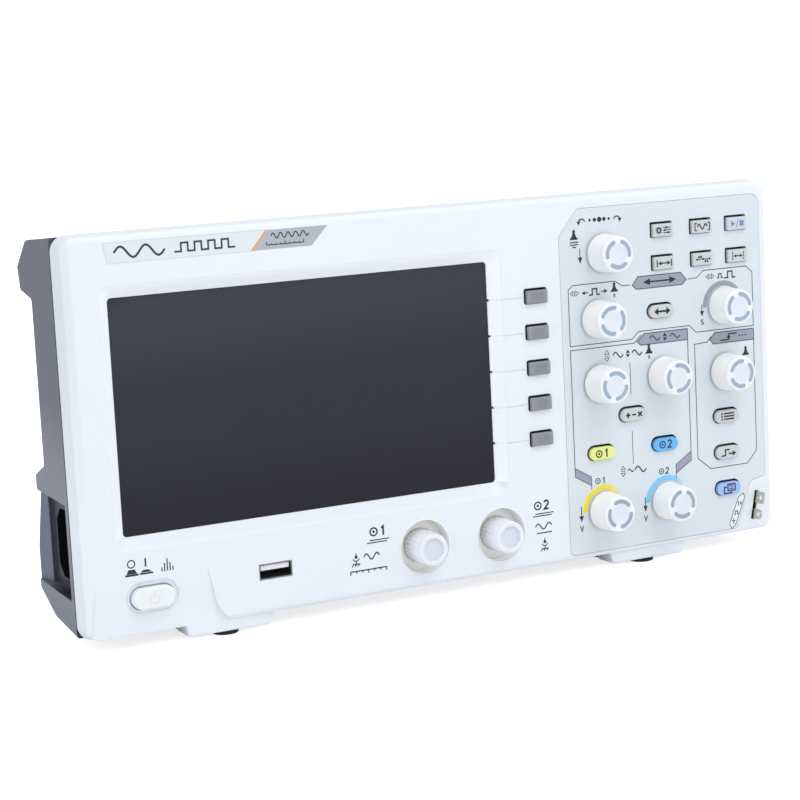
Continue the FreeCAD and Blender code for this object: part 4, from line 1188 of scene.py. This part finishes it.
def run_legend(art):
    """A triangle, a slash and a square."""
    art.poly([(-3.1, 1.3), (-1.0, 0), (-3.1, -1.3)])
    art.stroke([(-0.5, -1.5), (0.5, 1.5)], 0.38)
    art.poly([(1.1, -1.1), (3.2, -1.1), (3.2, 1.1), (1.1, 1.1)])


def measure_legend(art):
    """A double arrow between two end lines."""
    for side in (-1, 1):
        art.stroke([(side * 3.4, 1.4), (side * 3.4, -1.4)], 0.50)
        art.poly([(side * 3.0, 0), (side * 1.4, 0.85), (side * 1.4, -0.85)])
    art.stroke([(-1.5, 0), (1.5, 0)], 0.46)


def acquire_legend(art):
    """Dots along a wave with stems to a base line."""
    for i in range(7):
        x = -3.0 + i * 1.0
        height = 1.15 * math.sin(2 * math.pi * i / 6)
        art.disc(x, height, 0.44, 14)
        if abs(height) > 0.45:
            art.stroke([(x, 0), (x, height)], 0.28)
    art.stroke([(-3.4, 0), (3.4, 0)], 0.24)


def cursor_legend(art):
    """A double arrow between two dashed lines."""
    for side in (-1, 1):
        for i in range(3):
            z = 1.5 - i * 1.15
            art.stroke([(side * 2.7, z), (side * 2.7, z - 0.75)], 0.50)
    art.stroke([(-1.6, -0.05), (1.6, -0.05)], 0.40)
    for side in (-1, 1):
        art.poly([(side * 2.2, -0.05), (side * 1.0, 0.62), (side * 1.0, -0.72)])


def horizontal_legend(art):
    """A double arrow."""
    art.stroke([(-2.0, 0), (2.0, 0)], 0.80)
    for side in (-1, 1):
        art.poly([(side * 3.9, 0), (side * 1.9, 1.5), (side * 1.9, -1.5)])


def math_legend(art):
    """Plus, minus and times."""
    for path in ([(-3.9, 0), (-1.7, 0)], [(-2.8, -1.1), (-2.8, 1.1)], [(-0.9, 0), (0.9, 0)],
                 [(1.9, 0.9), (3.7, -0.9)], [(1.9, -0.9), (3.7, 0.9)]):
        art.stroke(path, 0.64)


def menu_legend(art):
    """Three dotted list lines."""
    for i in range(3):
        z = 1.15 - i * 1.15
        art.disc(-2.8, z, 0.42, 14)
        art.stroke([(-1.8, z), (3.2, z)], 0.60)


def force_legend(art):
    """A rising edge and an arrow to the right."""
    art.stroke([(-3.6, -1.2), (-1.6, -1.2), (-1.6, 1.2), (0.6, 1.2)], 0.62)
    art.arrow((-0.1, -0.5), (3.7, -0.5), width=0.60, head=1.7, half_head=1.1)


def copy_legend(art):
    """Two overlapping sheets, the front one with two lines."""
    art.stroke([(-0.9, 1.7), (2.7, 1.7), (2.7, -0.9), (-0.9, -0.9)], 0.58, closed=True)
    art.stroke([(-1.4, 0.6), (-2.7, 0.6), (-2.7, -1.9), (0.9, -1.9), (0.9, -1.4)], 0.58)
    for i in range(2):
        z = 0.85 - i * 0.95
        art.stroke([(-0.1, z), (1.9, z)], 0.42)


def channel_1_legend(art):
    input_mark(art, 0, 0, 3.1, "1", 0.62)


def channel_2_legend(art):
    input_mark(art, 0, 0, 3.1, "2", 0.62)


KEY_LEGENDS = [
    ("utility_key", utility_legend, "black"),
    ("autoset_key", autoset_legend, "black"),
    ("run_stop_key", run_legend, "key_blue"),
    ("measure_key", measure_legend, "black"),
    ("acquire_key", acquire_legend, "black"),
    ("cursor_key", cursor_legend, "black"),
    ("horizontal_key", horizontal_legend, "black"),
    ("math_key", math_legend, "black"),
    ("trigger_menu_key", menu_legend, "black"),
    ("force_key", force_legend, "black"),
    ("copy_key", copy_legend, "navy"),
    ("channel_1_key", channel_1_legend, "black"),
    ("channel_2_key", channel_2_legend, "navy"),
]
for key, draw, color in KEY_LEGENDS:
    with Print(key + "_legend", INK[color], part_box(key)[0].y, body=key,
               slot=slot_of(key), lift=0.03, origin=panel_centre(key)) as art:
        draw(art)


def power_sign():
    """Raised power sign on the power key."""
    key = "power_button"
    with Print(key + "_sign", LOOKS["power_key"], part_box(key)[0].y, body=key,
               slot="power_key", lift=0.16, sink=0.05, origin=panel_centre(key)) as art:
        art.arc(0, -0.1, 1.75, 0.42, 125, 415, 30)
        art.stroke([(0, 0.1), (0, 2.1)], 0.42)


power_sign()

# ---------------------------------------------------- ring inserts on knobs
# Knob, angle of the middle of its first insert in degrees, ink
RINGS = [
    ("multipurpose", 31.0, "ring"), ("horizontal_position", -3.0, "ring"),
    ("horizontal_scale", 48.0, "ring"), ("channel_1_position", 75.0, "ring"),
    ("channel_2_position", 62.0, "ring"), ("trigger_level", 2.0, "ring"),
    ("channel_1_scale", 76.0, "ring_low"), ("channel_2_scale", 22.0, "ring_low"),
]
RING_RADIUS = 5.02
RING_WIDTH = 1.54
RING_SPAN = 76.0        # degrees
RING_STEPS = 22
RING_INSERTS = 3


def ring_end(angle, side):
    """Round end of an insert, from its outer to its inner edge."""
    angle = math.radians(angle)
    cos, sin = math.cos(angle), math.sin(angle)
    points = []
    for i in range(1, 8):
        turn = math.pi * i / 8
        outward = RING_RADIUS + RING_WIDTH / 2 * math.cos(turn)
        along = RING_WIDTH / 2 * math.sin(turn) * side
        points.append((outward * cos - along * sin, outward * sin + along * cos))
    return points


def ring_insert(middle):
    """Outline of a curved slot with round ends."""
    start, end = middle - RING_SPAN / 2, middle + RING_SPAN / 2
    angles = [start + RING_SPAN * i / RING_STEPS for i in range(RING_STEPS + 1)]
    outer, inner = RING_RADIUS + RING_WIDTH / 2, RING_RADIUS - RING_WIDTH / 2
    return (oval(0, 0, outer, outer, angles) + ring_end(end, 1)
            + oval(0, 0, inner, inner, angles)[::-1] + ring_end(start, -1)[::-1])


for name, angle, color in RINGS:
    knob = name + "_knob"
    with Print(name + "_ring", INK[color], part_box(knob)[0].y + 0.08 * MM, body=knob,
               slot="knob_white", lift=0.0, sink=0.45, origin=panel_centre(knob)) as art:
        for i in range(RING_INSERTS):
            art.poly(ring_insert(angle + 360.0 / RING_INSERTS * i))


# ------------------------------------------------------------------- studio
def surroundings():
    scene = bpy.context.scene
    scene.view_settings.view_transform = "Standard"
    scene.view_settings.look = "None"
    scene.view_settings.exposure = 0.0
    scene.view_settings.gamma = 1.0
    world = bpy.data.worlds.new("studio")
    scene.world = world
    world.use_nodes = True
    background = world.node_tree.nodes["Background"]
    background.inputs["Color"].default_value = (0.97, 0.985, 1.0, 1.0)
    background.inputs["Strength"].default_value = 0.76


def floor_material():
    s = Shader("studio_floor")
    clouds = s.noise(3.0, detail=2.0)
    # a lit sweep: the camera sees it nearly burnt out, as on a light table
    camera_ray = s.make("LightPath").outputs["Is Camera Ray"]
    material = s.finish({
        "Base Color": s.mix(clouds, (0.93, 0.935, 0.945), (0.95, 0.955, 0.96)),
        "Emission Color": (1.0, 1.0, 1.0),
        "Emission Strength": s.mul(camera_ray, 0.74),
        "Roughness": 0.8,
        "Specular IOR Level": 0.2})
    # seen from underneath the sweep is clear
    clear = s.make("BsdfTransparent").outputs[0]
    behind = s.make("NewGeometry").outputs["Backfacing"]
    both = s.make("MixShader", {0: behind, 1: s.surface.outputs[0], 2: clear})
    s.feed(s.output, both.outputs[0])
    return material


def studio_floor():
    """Floor that curves up behind the object."""
    half_width, front, back, top = 8.0, -6.0, 1.2, 6.0
    radius, steps = 1.6, 12
    ground = CAD_BOX[0].z - 0.0002
    profile = [(front, 0.0), (back, 0.0)]
    for i in range(1, steps + 1):
        angle = math.radians(90 * i / steps)
        profile.append((back + radius * math.sin(angle), radius - radius * math.cos(angle)))
    profile.append((back + radius, top))
    bm = bmesh.new()
    left, right = ([bm.verts.new((x, y, z + ground)) for y, z in profile]
                   for x in (-half_width, half_width))
    for i in range(len(profile) - 1):
        bm.faces.new((left[i], right[i], right[i + 1], left[i + 1]))
    mesh = bpy.data.meshes.new("studio_floor")
    bm.to_mesh(mesh)
    bm.free()
    for face in mesh.polygons:
        face.use_smooth = True
    floor = bpy.data.objects.new("studio_floor", mesh)
    bpy.context.scene.collection.objects.link(floor)
    mesh.materials.append(floor_material())


def area_light(name, place, width, height, power, color):
    """Area light aimed at the middle of the object."""
    target = Vector((0.0, 0.0, 0.08))
    light = bpy.data.lights.new(name, "AREA")
    light.energy = power
    light.color = color
    light.shape = "RECTANGLE"
    light.size = width
    light.size_y = height
    lamp = bpy.data.objects.new(name, light)
    bpy.context.scene.collection.objects.link(lamp)
    lamp.location = place
    lamp.rotation_mode = "QUATERNION"
    lamp.rotation_quaternion = (target - Vector(place)).to_track_quat("-Z", "Y")


def camera():
    lens = bpy.data.cameras.new("camera")
    lens.lens = 99.23985
    lens.sensor_width = 36.0
    lens.sensor_fit = "HORIZONTAL"
    lens.clip_start, lens.clip_end = 0.05, 30.0
    body = bpy.data.objects.new("camera", lens)
    bpy.context.scene.collection.objects.link(body)
    right = Vector((0.88356376, -0.4656265, -0.05007044))
    down = Vector((-0.11266498, -0.10757001, -0.98779314))
    forward = Vector((0.45455659, 0.8784194, -0.14750476))
    turn = Matrix((right, -down, -forward)).transposed().to_4x4()
    body.matrix_world = Matrix.Translation((-0.39608, -0.74832, 0.20034)) @ turn
    bpy.context.scene.camera = body


surroundings()
studio_floor()
area_light("key_light", place=(0.25, -0.9, 1.5), width=1.1, height=0.8, power=8.6,
           color=(1.0, 0.99, 0.97))
area_light("fill_right", place=(1.5, -0.9, 0.6), width=1.0, height=1.0, power=3.2,
           color=(0.97, 0.98, 1.0))
area_light("fill_left", place=(-1.5, -0.5, 0.5), width=1.0, height=1.0, power=3.0,
           color=(0.95, 0.97, 1.0))
camera()

bpy.context.view_layer.update()
